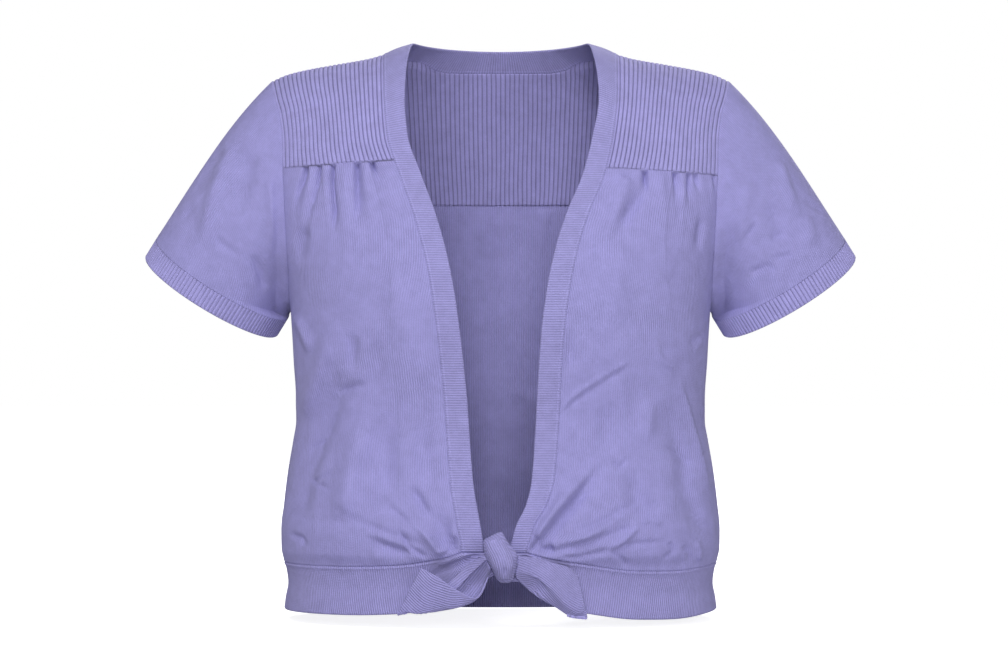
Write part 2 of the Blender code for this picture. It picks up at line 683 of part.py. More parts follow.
def grid_normals(rows, tube):
    """The unit normal at each point of a grid, from the points before and after it along and across."""
    last_row, last = len(rows) - 1, len(rows[0]) - 1
    normals = []
    for i, row in enumerate(rows):
        line = []
        for j, _ in enumerate(row):
            down = rows[min(i + 1, last_row)][j] - rows[max(i - 1, 0)][j]
            if tube:
                across = row[(j + 1) % (last + 1)] - row[j - 1]
            else:
                across = row[min(j + 1, last)] - row[max(j - 1, 0)]
            line.append(down.cross(across).normalized())
        normals.append(line)
    return normals


def shared_normals(panels):
    """A function that gives, for each place, one normal and how much further a wall's slanted edge reaches there.

    Panels that meet are then thickened alike along their seam, as a mitre."""
    places = [p for rows, _, _ in panels.values() for row in rows for p in row]
    normals = [n for rows, tube, _ in panels.values() for line in grid_normals(rows, tube) for n in line]
    tree = KDTree(len(places))
    for i, place in enumerate(places):
        tree.insert(place, i)
    tree.balance()

    def mitre(p):
        found = [normals[i] for _, i, _ in tree.find_range(p, SAME_PLACE)]
        total = sum(found, Vector())
        return total.normalized() * min(len(found) / total.length, MOST_MITRE)

    return mitre


def drawn_back(rows, tube):
    """The grid with its outermost points moved in by half a seam's gap, square to their edge."""
    moved = [[p.copy() for p in row] for row in rows]

    def move_line(line, inner, targets):
        last = len(line) - 1
        for k, p in enumerate(line):
            before, after = (k - 1, (k + 1) % (last + 1)) if tube else (max(k - 1, 0), min(k + 1, last))
            along = (line[after] - line[before]).normalized()
            inward = inner[k] - p
            inward -= along * inward.dot(along)
            targets[k] += inward.normalized() * SEAM_GAP / 2

    for edge, inner in ((0, 1), (-1, -2)):
        move_line(rows[edge], rows[inner], moved[edge])
        if not tube:
            column = [row[edge] for row in moved]
            move_line([row[edge] for row in rows], [row[inner] for row in rows], column)
    return moved


def rim_faces(points, a, b, to_inner):
    """Two triangles from an outer edge to the inner one, cut the same way from whichever side the edge is seen.

    The rim is twisted, so two panels that met along it with different diagonals would overlap."""
    step = points[b] - points[a]
    longest = max(range(3), key=lambda axis: abs(step[axis]))
    if step[longest] > 0:
        return [(b, a, b + to_inner), (a, a + to_inner, b + to_inner)]
    return [(b, a, a + to_inner), (b, a + to_inner, b + to_inner)]


def wall(name, panel, normals, kind, collection):
    """A closed wall on a grid: its outer face, its inner face, and the rim between them."""
    rows, tube, thickness = panel
    inner = [[p - normals(p) * thickness for p in row] for row in rows]
    outer, inner = drawn_back(rows, tube), drawn_back(inner, tube)
    height, width = len(rows), len(rows[0])
    points = [p for face in (outer, inner) for row in face for p in row]
    steps = width if tube else width - 1

    def at(face, i, j):
        return face * height * width + i * width + j % width

    faces = []
    for i in range(height - 1):
        for j in range(steps):
            faces.append((at(0, i, j), at(0, i + 1, j), at(0, i + 1, j + 1), at(0, i, j + 1)))
            faces.append((at(1, i, j), at(1, i, j + 1), at(1, i + 1, j + 1), at(1, i + 1, j)))
    ring = [(at(0, 0, j + 1), at(0, 0, j)) for j in range(steps)]
    ring += [(at(0, height - 1, j), at(0, height - 1, j + 1)) for j in range(steps)]
    if not tube:
        ring += [(at(0, i, 0), at(0, i + 1, 0)) for i in range(height - 1)]
        ring += [(at(0, i + 1, width - 1), at(0, i, width - 1)) for i in range(height - 1)]
    for a, b in ring:
        faces += rim_faces(points, a, b, height * width)
    return new_object(name, points, faces, kind, collection)


def new_object(name, points, faces, kind, collection):
    mesh = bpy.data.meshes.new(name)
    mesh.from_pydata([tuple(p) for p in points], [], faces)
    mesh.materials.append(knit_material(name, LAVENDER[kind]))
    mesh.validate()
    obj = bpy.data.objects.new(name, mesh)
    collection.objects.link(obj)
    return obj


def knit_material(name, srgb):
    material = bpy.data.materials.new(name)
    material.use_nodes = True
    shader = material.node_tree.nodes["Principled BSDF"]
    linear = [((c + 0.055) / 1.055) ** 2.4 for c in srgb]
    shader.inputs["Base Color"].default_value = (*linear, 1.0)
    shader.inputs["Roughness"].default_value = KNIT_ROUGHNESS
    shader.inputs["Metallic"].default_value = 0.0
    return material


def strip(name, rows, thickness, offset, kind, collection):
    """A free strip of cloth: its open surface, thickened by Solidify (offset 0 is on both sides, 1 outwards)."""
    width = len(rows[0])
    points = [p for row in rows for p in row]
    faces = []
    for i in range(len(rows) - 1):
        for j in range(width - 1):
            k = i * width + j
            faces.append((k, k + width, k + width + 1, k + 1))
    obj = new_object(name, points, faces, kind, collection)
    solidify = obj.modifiers.new("cloth", "SOLIDIFY")
    solidify.thickness = thickness
    solidify.offset = offset
    return obj


def rounded_solid(name, rings, kind, collection):
    """Rings joined into one closed solid, with a point in the middle of each end."""
    sides = len(rings[0])
    points = [p for ring in rings for p in ring]
    ends = [len(points), len(points) + 1]
    points += [sum(rings[0], Vector()) / sides, sum(rings[-1], Vector()) / sides]
    last = (len(rings) - 1) * sides
    faces = []
    for j in range(sides):
        k = (j + 1) % sides
        for i in range(0, last, sides):
            faces.append((i + j, i + k, i + sides + k, i + sides + j))
        faces.append((ends[0], k, j))
        faces.append((ends[1], last + j, last + k))
    return new_object(name, points, faces, kind, collection)


def main():
    for obj in list(bpy.data.objects):
        bpy.data.objects.remove(obj)
    collection = bpy.data.collections.new("cardigan")
    bpy.context.scene.collection.children.link(collection)

    panels = {
        "back_yoke": (back_yoke(), False, RIB),
        "back": (back(), False, JERSEY),
        "waistband_back": (back_waistband(), False, RIB),
    }
    for side in SIDES:
        band = front_band(side)
        band = mirrored(band, side)
        if side == "right":
            band += back_neck_band()[1:]
        panels[f"front_band_{side}"] = (band, False, RIB)
        panels[f"front_yoke_{side}"] = (mirrored(front_yoke(side), side), False, RIB)
        panels[f"front_{side}"] = (mirrored(front(side), side), False, JERSEY)
        panels[f"waistband_{side}"] = (mirrored(front_waistband(side), side), False, RIB)
        panels[f"sleeve_{side}"] = (mirrored(sleeve(side), side), True, JERSEY)
        panels[f"cuff_{side}"] = (mirrored(cuff(side), side), True, RIB)

    kinds = {"front_yoke": "yoke_rib", "back_yoke": "yoke_rib", "front_band": "band_rib", "cuff": "band_rib"}
    kinds["waistband"] = "tie_rib"
    for name, (rows, tube, thickness) in panels.items():
        middle = rows[len(rows) // 2]
        at = len(middle) // 4
        normal = grid_normals(rows, tube)[len(rows) // 2][at]
        centre = sum(middle, Vector()) / len(middle) if tube else Vector((0.0, 0.0, middle[at].z))
        if normal.dot(middle[at] - centre) < 0:
            rows = [list(reversed(row)) for row in rows]
        panels[name] = (rows, tube, thickness)
    normals = shared_normals(panels)
    for name, panel in panels.items():
        kind = next((kinds[start] for start in kinds if name.startswith(start)), "jersey")
        wall(name, panel, normals, kind, collection)

    rounded_solid("knot", knot_rings(), "tie_rib", collection)
    strip("knot_wrap", wrap_rows(), RIB, 1.0, "tie_rib", collection)
    for side in SIDES:
        strip(f"tie_end_{side}", tie_end(side), JERSEY, 0.0, "tie_rib", collection)


main()
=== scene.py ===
# %% [markdown]
# # A tied cardigan in fine cotton knit
#
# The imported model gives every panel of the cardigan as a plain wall, a millimetre or two thick, in the form
# the garment keeps when it is worn. This script puts the knitted cloth on those walls. Each panel is made
# again on a much finer grid of the same surface, with its ribs, gathers, creases and rolled edges, and it
# stands for the plain solid of the same name. Lengths in the tables are millimetres, and x is the wearer's
# left, as in the model.

import json
import math
from collections import namedtuple

import bpy
import numpy as np
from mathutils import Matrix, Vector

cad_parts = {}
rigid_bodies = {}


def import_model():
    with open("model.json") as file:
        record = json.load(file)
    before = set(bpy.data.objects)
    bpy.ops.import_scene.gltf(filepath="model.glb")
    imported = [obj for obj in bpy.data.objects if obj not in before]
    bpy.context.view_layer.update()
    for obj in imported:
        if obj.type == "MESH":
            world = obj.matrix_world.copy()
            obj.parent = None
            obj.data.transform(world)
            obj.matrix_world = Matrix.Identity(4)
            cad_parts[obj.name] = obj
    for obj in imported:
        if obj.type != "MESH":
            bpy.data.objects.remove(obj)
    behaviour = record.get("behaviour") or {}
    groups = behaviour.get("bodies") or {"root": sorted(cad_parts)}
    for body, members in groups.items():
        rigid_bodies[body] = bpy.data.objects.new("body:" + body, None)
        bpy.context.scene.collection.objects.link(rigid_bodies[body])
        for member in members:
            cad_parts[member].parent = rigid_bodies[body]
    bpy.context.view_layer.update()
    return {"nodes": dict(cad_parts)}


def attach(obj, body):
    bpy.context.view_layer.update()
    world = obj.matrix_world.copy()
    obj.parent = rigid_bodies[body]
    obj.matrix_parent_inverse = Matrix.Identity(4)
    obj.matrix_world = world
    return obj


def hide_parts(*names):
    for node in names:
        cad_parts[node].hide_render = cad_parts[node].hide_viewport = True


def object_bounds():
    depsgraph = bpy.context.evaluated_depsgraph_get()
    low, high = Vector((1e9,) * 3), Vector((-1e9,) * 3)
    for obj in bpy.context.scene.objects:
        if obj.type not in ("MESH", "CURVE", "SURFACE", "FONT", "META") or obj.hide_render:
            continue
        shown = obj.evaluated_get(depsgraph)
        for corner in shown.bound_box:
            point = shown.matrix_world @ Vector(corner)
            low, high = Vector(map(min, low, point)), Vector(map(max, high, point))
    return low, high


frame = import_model()
for name in ("Cube", "Light", "Camera"):
    if name in bpy.data.objects:
        bpy.data.objects.remove(bpy.data.objects[name])
print("packed solids:", len(frame["nodes"]))

# %% [markdown]
# ## The sizes that carry the form
#
# The body is a pile of level sections, each a squared oval with its own half width, front depth and back
# depth. The shoulder seam, the front edges, the waist seam and the neck seam are short tables too. They are
# the model's own sizes, said again here because a look needs the same surface with many more points on it.

# %% Tables of the form
MM = 0.001
JERSEY = 1.5 * MM
RIB = 1.9 * MM
SQUARENESS = 2.4

HALF_WIDTH, FRONT, BACK = 1, 2, 3  # columns of BODY, whose first is the height
BODY = MM * np.array([
    (-36.5, 207.9, 80.0, 90.0),
    (-55.6, 202.7, 85.0, 95.0),
    (-68.5, 198.5, 88.0, 98.0),
    (-93.0, 195.0, 95.0, 103.0),
    (-118.0, 194.3, 102.0, 108.0),
    (-145.0, 193.0, 112.0, 113.0),
    (-182.0, 191.5, 122.0, 113.0),
    (-215.0, 190.2, 127.0, 109.0),
    (-246.0, 190.5, 128.0, 103.0),
    (-256.0, 189.6, 127.2, 101.5),
    (-268.0, 188.9, 126.0, 100.0),
    (-290.0, 187.8, 122.0, 98.0),
    (-326.0, 185.6, 115.0, 95.0),
    (-344.0, 185.6, 113.0, 95.0),
    (-362.6, 188.5, 113.5, 97.0),
    (-390.0, 193.2, 116.5, 101.0),
    (-417.0, 196.6, 122.0, 107.0),
    (-444.0, 199.0, 126.0, 112.0),
    (-460.0, 198.7, 124.0, 112.5),
    (-471.5, 196.5, 118.0, 109.0),
    (-485.0, 195.5, 117.0, 106.0),
])
SHOULDER = MM * np.array([  # half width, height
    (106.0, -12.0),
    (120.0, -16.0),
    (150.0, -21.2),
    (180.0, -26.8),
    (195.0, -30.8),
    (207.9, -36.5),
])
NECK_SEAM_X, NECK_SEAM_Z = SHOULDER[0]
SHOULDER_X, SHOULDER_Z = SHOULDER[-1]
NECK_POINT_X = 80.0 * MM
UNDERARM_Z = -246.0 * MM
ARMHOLE_FULLEST_Z = -150.0 * MM
ARMHOLE_REACH = 58.0 * MM
ARMHOLE_ROUNDNESS = 1.9
FRONT_ARCH = math.radians(72)
BACK_ARCH = math.radians(80)
NECK_ARCH_START = math.radians(50)

SEAM, EDGE = 1, 2  # columns of FRONT_EDGES: half widths at the neck band's seam and at its free edge
FRONT_EDGES = {
    "right": MM * np.array([
        (0.0, 106.0, 80.0),
        (-12.0, 106.0, 82.2),
        (-30.0, 105.2, 84.3),
        (-53.6, 104.0, 85.0),
        (-90.3, 100.6, 81.8),
        (-124.6, 89.5, 69.9),
        (-161.2, 76.4, 56.4),
        (-203.5, 65.0, 44.9),
        (-243.6, 58.2, 37.9),
        (-315.2, 50.2, 29.7),
        (-395.5, 44.2, 23.6),
        (-429.4, 38.6, 17.9),
        (-450.0, 34.5, 14.2),
    ]),
    "left": MM * np.array([
        (0.0, 106.0, 80.0),
        (-12.0, 106.0, 83.0),
        (-30.0, 105.4, 86.2),
        (-53.6, 104.6, 87.6),
        (-92.0, 100.0, 81.2),
        (-127.2, 91.5, 71.7),
        (-156.8, 79.2, 59.1),
        (-187.7, 69.2, 48.9),
        (-223.5, 61.6, 41.1),
        (-268.9, 55.8, 35.3),
        (-355.5, 50.8, 30.2),
        (-394.0, 47.4, 27.3),
        (-415.5, 40.8, 22.3),
        (-433.8, 30.0, 13.5),
        (-455.0, 23.0, 8.0),
    ]),
}
YOKE_SEAM = {"right": (-112.3 * MM, -117.9 * MM), "left": (-119.3 * MM, -124.1 * MM)}
FRONT_WAIST = {
    "right": MM * np.array([
        (0.0, -447.5), (18.0, -450.0), (49.0, -463.3), (85.0, -469.5), (130.0, -471.5), (195.5, -472.0),
    ]),
    "left": MM * np.array([
        (0.0, -447.5), (15.0, -454.0), (39.0, -463.3), (62.0, -467.7), (112.0, -475.0), (150.0, -476.0),
        (195.5, -472.0),
    ]),
}
BACK_SEAM_Z = -145.0 * MM
BACK_WAIST_DROP = 9.0 * MM
WAISTBAND_HEIGHT = 42.5 * MM
TIE_HEIGHT = 25.0 * MM
TIE_STARTS_X = 12.0 * MM
TIE_TAPER = 45.0 * MM
# share down the waistband, and how far it stands out from the line of its seam
WAISTBAND = np.array([(0.0, 0.0), (0.15, -2.2 * MM), (0.45, -3.8 * MM), (0.75, -1.6 * MM), (1.0, -0.2 * MM)])
NECK_SEAM_BACK = 83.0 * MM
NECK_EDGE_BACK = 72.0 * MM
NECK_SEAM = MM * np.array([
    (0.0, -22.3), (45.6, -22.5), (60.0, -20.5), (69.0, -15.8), (76.5, -13.0), (106.0, -12.0),
])
NECK_EDGE_DIP = 3.0 * MM
CUFF_TOP = MM * np.array([322.6, 0.0, -195.0])
CUFF_BOTTOM = MM * np.array([203.5, 0.0, -268.5])
CUFF_HEIGHT = 19.0 * MM
CUFF_HALF_DEPTH = 50.0 * MM
CUFF_TILT = math.radians(14)
SIGN = {"right": -1.0, "left": 1.0}
print("sections of the body:", len(BODY))

# %% [markdown]
# ## Reading the tables
#
# Every size between two rows lies on a smooth curve that never overshoots them, so a seam can't gain a bump
# that nobody drew. All of it works on whole arrays at once: a panel is an array of points, in rows down the
# garment and columns across it.

# %% Curves through tables


def lerp(start, stop, share):
    """start + (stop - start) share."""
    return start + (stop - start) * share


def smooth(share):
    """3 s^2 - 2 s^3, held at 0 below 0 and at 1 above 1."""
    share = np.clip(share, 0.0, 1.0)
    return share * share * (3.0 - 2.0 * share)


def bell(distance, width):
    """exp(-(d / width)^2)."""
    return np.exp(-((distance / width) ** 2))


def power(value, exponent):
    """|v|^e with the sign of v."""
    return np.sign(value) * np.abs(value) ** exponent


def unit(vectors):
    """Each vector divided by its length."""
    return vectors / np.maximum(np.linalg.norm(vectors, axis=-1, keepdims=True), 1e-12)


def points(x, y, z):
    """One array of points from an array or a number for each coordinate."""
    return np.stack(np.broadcast_arrays(x, y, z), axis=-1)


def mirrored(grid, side):
    """A panel worked out on the wearer's left, on its own side: x times -1 for the right."""
    return grid * (SIGN[side], 1, 1)


def curve(table, column, at):
    """A column of a table at values of its first column, by cubics whose slope at each row is the harmonic
    mean of the slopes beside it, or level where those turn."""
    rows = table[np.argsort(table[:, 0])]
    xs, ys = rows[:, 0], rows[:, column]
    steps = np.diff(ys) / np.diff(xs)
    before, after = steps[:-1], steps[1:]
    rising = before * after > 0
    between = np.where(rising, 2.0 * before * after / np.where(rising, before + after, 1.0), 0.0)
    slopes = np.concatenate([steps[:1], between, steps[-1:]])
    at = np.clip(at, xs[0], xs[-1])
    i = np.clip(np.searchsorted(xs, at, side="right") - 1, 0, len(steps) - 1)
    width = xs[i + 1] - xs[i]
    t = (at - xs[i]) / width
    bend = (1 - t) * slopes[i] * width - t * slopes[i + 1] * width - (1 - 2 * t) * (ys[i + 1] - ys[i])
    return lerp(ys[i], ys[i + 1], t) + t * (1 - t) * bend


def through(controls, shares):
    """A smooth line through control points (first axis), at shares of their number: cubics whose slope at a
    point is half the step from the point before it to the one after."""
    last = len(controls) - 1
    i = np.clip((shares * last).astype(int), 0, last - 1)
    t = (shares * last - i).reshape((-1,) + (1,) * (controls.ndim - 1))
    before, start = controls[np.maximum(i - 1, 0)], controls[i]
    stop, after = controls[i + 1], controls[np.minimum(i + 2, last)]
    leave, arrive = (stop - before) / 2, (after - start) / 2
    bend = (1 - t) * (leave - (stop - start)) - t * (arrive - (stop - start))
    return lerp(start, stop, t) + bend * t * (1 - t)


def eased(count, crowding=0.75):
    """t - crowding sin(2 pi t) / (2 pi): shares from 0 to 1 that lie closer together at both ends, where a
    panel rolls into its seam."""
    t = np.linspace(0.0, 1.0, count)
    return t - crowding * np.sin(2 * np.pi * t) / (2 * np.pi)


print("half width at the waist:", round(float(curve(BODY, HALF_WIDTH, -0.335)), 4))

# %% Body surface


def armhole_reach(z):
    """How far the armhole reaches forward and back of the side at a height: reach (1 - s^r)^(1/r), with s the
    share of the way from its fullest height to its upper or lower end."""
    end = np.where(z > ARMHOLE_FULLEST_Z, SHOULDER_Z, UNDERARM_Z)
    share = np.clip(np.abs((z - ARMHOLE_FULLEST_Z) / (end - ARMHOLE_FULLEST_Z)), 0.0, 1.0)
    return ARMHOLE_REACH * (1 - share**ARMHOLE_ROUNDNESS) ** (1 / ARMHOLE_ROUNDNESS)


def section(z, face):
    """(half width, depth, angle at the side) of the squared oval |x/w|^p + |y/d|^p = 1 at a height."""
    side = curve(BODY, HALF_WIDTH, z)
    depth = curve(BODY, FRONT if face < 0 else BACK, z)
    width = side / (1 - (armhole_reach(z) / depth) ** SQUARENESS) ** (1 / SQUARENESS)
    return width, depth, np.arccos((side / width) ** (SQUARENESS / 2))


def on_section(z, face, angle):
    """x = w cos(a)^(2/p), y = d sin(a)^(2/p): 0 is the left side, a right angle the middle."""
    width, depth, _ = section(z, face)
    x = power(np.cos(angle), 2 / SQUARENESS) * width
    return points(x, face * depth * np.maximum(np.sin(angle), 0.0) ** (2 / SQUARENESS), z)


def angle_at(x, z, face):
    """The angle of on_section that gives a place x."""
    width = section(z, face)[0]
    return np.arccos(power(np.clip(x / width, -1.0, 1.0), SQUARENESS / 2))


def arch(top_y, top_z, foot_y, foot_z, start, stop, share):
    """(y, z) on the arc of an oval from a point on the shoulder to one of the yoke's lower seam."""
    angle = lerp(start, stop, share)
    forward = (np.sin(angle) - np.sin(start)) / (np.sin(stop) - np.sin(start))
    down = (np.cos(start) - np.cos(angle)) / (np.cos(start) - np.cos(stop))
    return lerp(top_y, foot_y, forward), lerp(top_z, foot_z, down)


def armhole_levels(top, count):
    """Heights down the armhole, closer together below the yoke and where its oval turns under the arm."""
    reach = ARMHOLE_FULLEST_Z - UNDERARM_Z
    start = math.asin((ARMHOLE_FULLEST_Z - top) / reach)
    return ARMHOLE_FULLEST_Z - reach * np.sin(lerp(start, np.pi / 2, np.linspace(0.0, 1.0, count) ** 1.35))


print("armhole is", round(2000 * float(armhole_reach(ARMHOLE_FULLEST_Z))), "mm wide")

# %% [markdown]
# ## The panels as arrays of points
#
# A front runs from its gathered top to the waist seam. Its columns fan out from the band to the armhole and
# the side seam. The yoke above it is an arch from the shoulder seam down to the same line. Neighbours read
# the same tables along their common seam, so their edges meet.

# %% Front yokes and fronts
ARMHOLE_ROWS = 44
YOKE_ROWS = 44
BODY_ROWS = 132


def front_yoke(side, across):
    """Each column is an arch from the shoulder seam to the straight seam. Between the neck band and the
    armhole, x and the heights of both ends go by the share across."""
    v, u = np.meshgrid(eased(YOKE_ROWS, 0.5), across, indexing="ij")
    edges = FRONT_EDGES[side]
    at_band, at_armhole = YOKE_SEAM[side]
    band_z = arch(0, NECK_SEAM_Z, 0, at_band, 0, FRONT_ARCH, v)[1]
    armhole_z = arch(0, SHOULDER_Z, 0, at_armhole, 0, FRONT_ARCH, v)[1]
    seam_z = lerp(at_band, at_armhole, u)
    seam_x = lerp(curve(edges, SEAM, seam_z), curve(BODY, HALF_WIDTH, seam_z), u)
    foot = on_section(seam_z, -1, angle_at(seam_x, seam_z, -1))
    top_z = curve(SHOULDER, 1, lerp(NECK_SEAM_X, SHOULDER_X, u))
    y, z = arch(0, top_z, foot[..., 1], seam_z, 0, FRONT_ARCH, v)
    return points(lerp(curve(edges, SEAM, band_z), curve(BODY, HALF_WIDTH, armhole_z), u), y, z)


def front_levels(side):
    """Shares down the armhole and then down the side, for the rows of a front and its band. They lie closer
    together towards the waist."""
    at_armhole = YOKE_SEAM[side][1]
    drops = (at_armhole - armhole_levels(at_armhole, ARMHOLE_ROWS)) / (at_armhole - UNDERARM_Z)
    t = np.linspace(0.0, 1.0, BODY_ROWS)
    return drops, (t + 0.35 * np.sin(np.pi * t) / np.pi)[1:]


def front_heights(side, seam_z, waist_z):
    """Height of each row, by the shares of front_levels from yoke seam to underarm to waist."""
    drops, downs = front_levels(side)
    above = lerp(seam_z, UNDERARM_Z, drops[:, None])
    return np.concatenate([above, lerp(UNDERARM_Z, waist_z, downs[:, None])])


def front(side, across):
    """Rows of the body's section between the band's seam and the side. A column keeps its share of the angle,
    which its share across gives at the yoke's seam."""
    edges = FRONT_EDGES[side]
    u = across[None, :]
    seam_z = lerp(*YOKE_SEAM[side], u)
    inner, outer = curve(edges, SEAM, seam_z), curve(BODY, HALF_WIDTH, seam_z)
    band_angle, side_angle = angle_at(inner, seam_z, -1), section(seam_z, -1)[2]
    turn = (band_angle - angle_at(lerp(inner, outer, u), seam_z, -1)) / (band_angle - side_angle)
    waist_x = lerp(edges[-1, SEAM], BODY[-1, HALF_WIDTH], np.sin(turn * np.pi / 2))
    z = front_heights(side, seam_z, curve(FRONT_WAIST[side], 1, waist_x))
    return on_section(z, -1, lerp(angle_at(curve(edges, SEAM, z), z, -1), section(z, -1)[2], turn))


print("rows of a front:", ARMHOLE_ROWS + BODY_ROWS - 1)

# %% Neck band of a front


def front_band(side, across):
    """Rows from the neck point down to the waist, columns from the band's seam to its free edge."""
    edges = FRONT_EDGES[side]
    u = across[None, :]
    at_band = YOKE_SEAM[side][0]
    z = front_heights(side, at_band, curve(FRONT_WAIST[side], 1, edges[-1, SEAM]))
    lower = on_section(z, -1, angle_at(lerp(curve(edges, SEAM, z), curve(edges, EDGE, z), u), z, -1))
    v = eased(YOKE_ROWS, 0.5)[:, None]
    foot = lower[:1]
    top_z = lerp(NECK_SEAM_Z, 0.0, u)
    y, z = arch(0, top_z, foot[..., 1], foot[..., 2], 0, FRONT_ARCH, v)
    seam_z = arch(0, NECK_SEAM_Z, 0, at_band, 0, FRONT_ARCH, v)[1]
    x = lerp(curve(edges, SEAM, seam_z), curve(edges, EDGE, z[:, -1:]), u)
    return np.concatenate([points(x, y, z)[:-1], lower])


print("points down a band:", len(front_band("left", np.array([0.0, 1.0]))))

# %% Back yoke and back


def back_tops(count):
    """Top line of the back from the left shoulder round the neck to the right, in steps that stay short."""
    angle = np.linspace(0.0, np.pi, 400)
    neck_x = NECK_SEAM_X * np.cos(angle)
    neck = points(neck_x, NECK_SEAM_BACK * np.sin(angle), curve(NECK_SEAM, 1, np.abs(neck_x)))
    share = np.linspace(1.0, 0.0, 120)
    x = lerp(NECK_SEAM_X, SHOULDER_X, share)
    shoulder = points(x, 0.0, curve(SHOULDER, 1, x))
    line = np.concatenate([shoulder[:-1], neck, (shoulder * (-1, 1, 1))[::-1][1:]])
    shares = np.concatenate([share[:-1], 0 * angle, share[::-1][1:]])
    starts = np.concatenate([0 * share[:-1], NECK_ARCH_START * np.sin(angle) ** 2, 0 * share[1:]])
    step = np.abs(np.diff(line[:, 0])) + 0.2 * np.abs(np.diff(line[:, 1]))
    way = np.concatenate([[0.0], np.cumsum(step)])
    at = np.linspace(0.0, way[-1], count)
    tops = np.stack([np.interp(at, way, line[:, k]) for k in range(3)], axis=-1)
    return tops, np.interp(at, way, shares), np.interp(at, way, starts)


def back_yoke(count):
    """Each column is an arch from the shoulders or the neck to the back's straight seam. Between shoulder and
    seam the armhole's edge bows out by as much as the body's half width does."""
    tops, share, start = back_tops(count)
    outer = curve(BODY, HALF_WIDTH, BACK_SEAM_Z)
    foot_x = tops[:, 0] * outer / SHOULDER_X
    foot = on_section(BACK_SEAM_Z, 1, angle_at(foot_x, BACK_SEAM_Z, 1))
    v = eased(YOKE_ROWS, 0.4)[:, None]
    y, z = arch(tops[:, 1], tops[:, 2], foot[:, 1], BACK_SEAM_Z, start, BACK_ARCH, v)
    armhole_z = arch(0, SHOULDER_Z, 0, BACK_SEAM_Z, 0, BACK_ARCH, v)[1]
    down = (armhole_z - SHOULDER_Z) / (BACK_SEAM_Z - SHOULDER_Z)
    bow = curve(BODY, HALF_WIDTH, armhole_z) - lerp(SHOULDER_X, outer, down)
    return points(lerp(tops[:, 0], foot_x, down) + np.sign(tops[:, 0]) * share * bow, y, z), foot_x


def back(turns):
    """Rows of the body's section from side to side: a column keeps its share of the angle."""
    drops = armhole_levels(BACK_SEAM_Z, ARMHOLE_ROWS)[:, None] + 0 * turns
    waist_z = FRONT_WAIST["right"][-1, 1] - BACK_WAIST_DROP * np.sin(np.pi * turns) ** 2
    z = np.concatenate([drops, lerp(UNDERARM_Z, waist_z, front_levels("right")[1][:, None])])
    start = section(z, 1)[2]
    return on_section(z, 1, lerp(start, np.pi - start, turns))


print("points across the back yoke:", len(back_yoke(101)[1]))

# %% Neck band of the back, and waistband


def back_neck_band(angles, across):
    """Straight across from the neck seam to the free edge, which are two half ovals seen from above."""
    u = across[None, :]
    a = angles[:, None]
    x = NECK_SEAM_X * np.cos(a)
    seam = points(x, NECK_SEAM_BACK * np.sin(a), curve(NECK_SEAM, 1, np.abs(x)))
    edge = points(NECK_POINT_X * np.cos(a), NECK_EDGE_BACK * np.sin(a), -NECK_EDGE_DIP * np.sin(a) ** 2)
    return lerp(seam, edge, u[..., None])


def waistband(seam_row, heights, down):
    """Rows below a row of seam points: each drops by its share of the height and pulls in a little."""
    width, depth = BODY[-1, HALF_WIDTH], BODY[-1, FRONT]
    away = unit(seam_row * (1 / width**2, 1 / depth**2, 0.0))
    narrowed = smooth((heights - TIE_HEIGHT) / (WAISTBAND_HEIGHT - TIE_HEIGHT))
    out = curve(WAISTBAND, 1, down)[:, None, None] * (away * narrowed[:, None])
    return seam_row + out - points(0.0, 0.0, down[:, None] * heights)


print("height of the waistband:", WAISTBAND_HEIGHT / MM, "mm")

# %% Sleeves
SLEEVE_ROWS = 74
SLEEVE_AIM = unit(np.array([CUFF_TOP[2] - CUFF_BOTTOM[2], 0.0, CUFF_BOTTOM[0] - CUFF_TOP[0]]))
LEAVE_UNDER, LEAVE_OVER = 0.30, 0.80  # how much a line heads for the cuff where it leaves the armhole
ARRIVE = 0.6  # how much it follows the sleeve's own direction at the cuff
SLEEVE_FULLNESS = 4.0 * MM


def armhole_ring(side):
    """The armhole's points from the underarm up the front and down the back, and which one is its top."""
    ends = np.array([0.0, 1.0])
    up = front(side, ends)[:ARMHOLE_ROWS, -1][::-1]
    over = front_yoke(side, ends)[:-1, -1][::-1]
    down = back_yoke(801)[0][1:, 0]
    under = back(np.array([0.0, 1.0]))[1 : ARMHOLE_ROWS - 1, 0]
    return np.concatenate([up, over, down, under]), len(up) + len(over) - 1


def ring_angles(ring, top):
    """Half a turn up the front and half down the back, in step with the length along the armhole."""
    length = np.linalg.norm(np.roll(ring, -1, axis=0) - ring, axis=1)
    way = np.concatenate([[0.0], np.cumsum(length)])
    return np.interp(way[:-1], [0.0, way[top], way[-1]], [0.0, np.pi, 2 * np.pi])


def cuff_ring(angles, along):
    """The sleeve's oval at a distance up from the cuff's free edge: angle 0 is its lowest point."""
    chord = CUFF_TOP - CUFF_BOTTOM
    half, up = np.linalg.norm(chord) / 2, unit(chord)
    forward = np.array([0.0, -math.cos(CUFF_TILT), 0.0]) + SLEEVE_AIM * math.sin(CUFF_TILT)
    a = angles[:, None]
    centre = (CUFF_TOP + CUFF_BOTTOM) / 2 - SLEEVE_AIM * along
    return centre - up * half * np.cos(a) + forward * CUFF_HALF_DEPTH * np.sin(a)


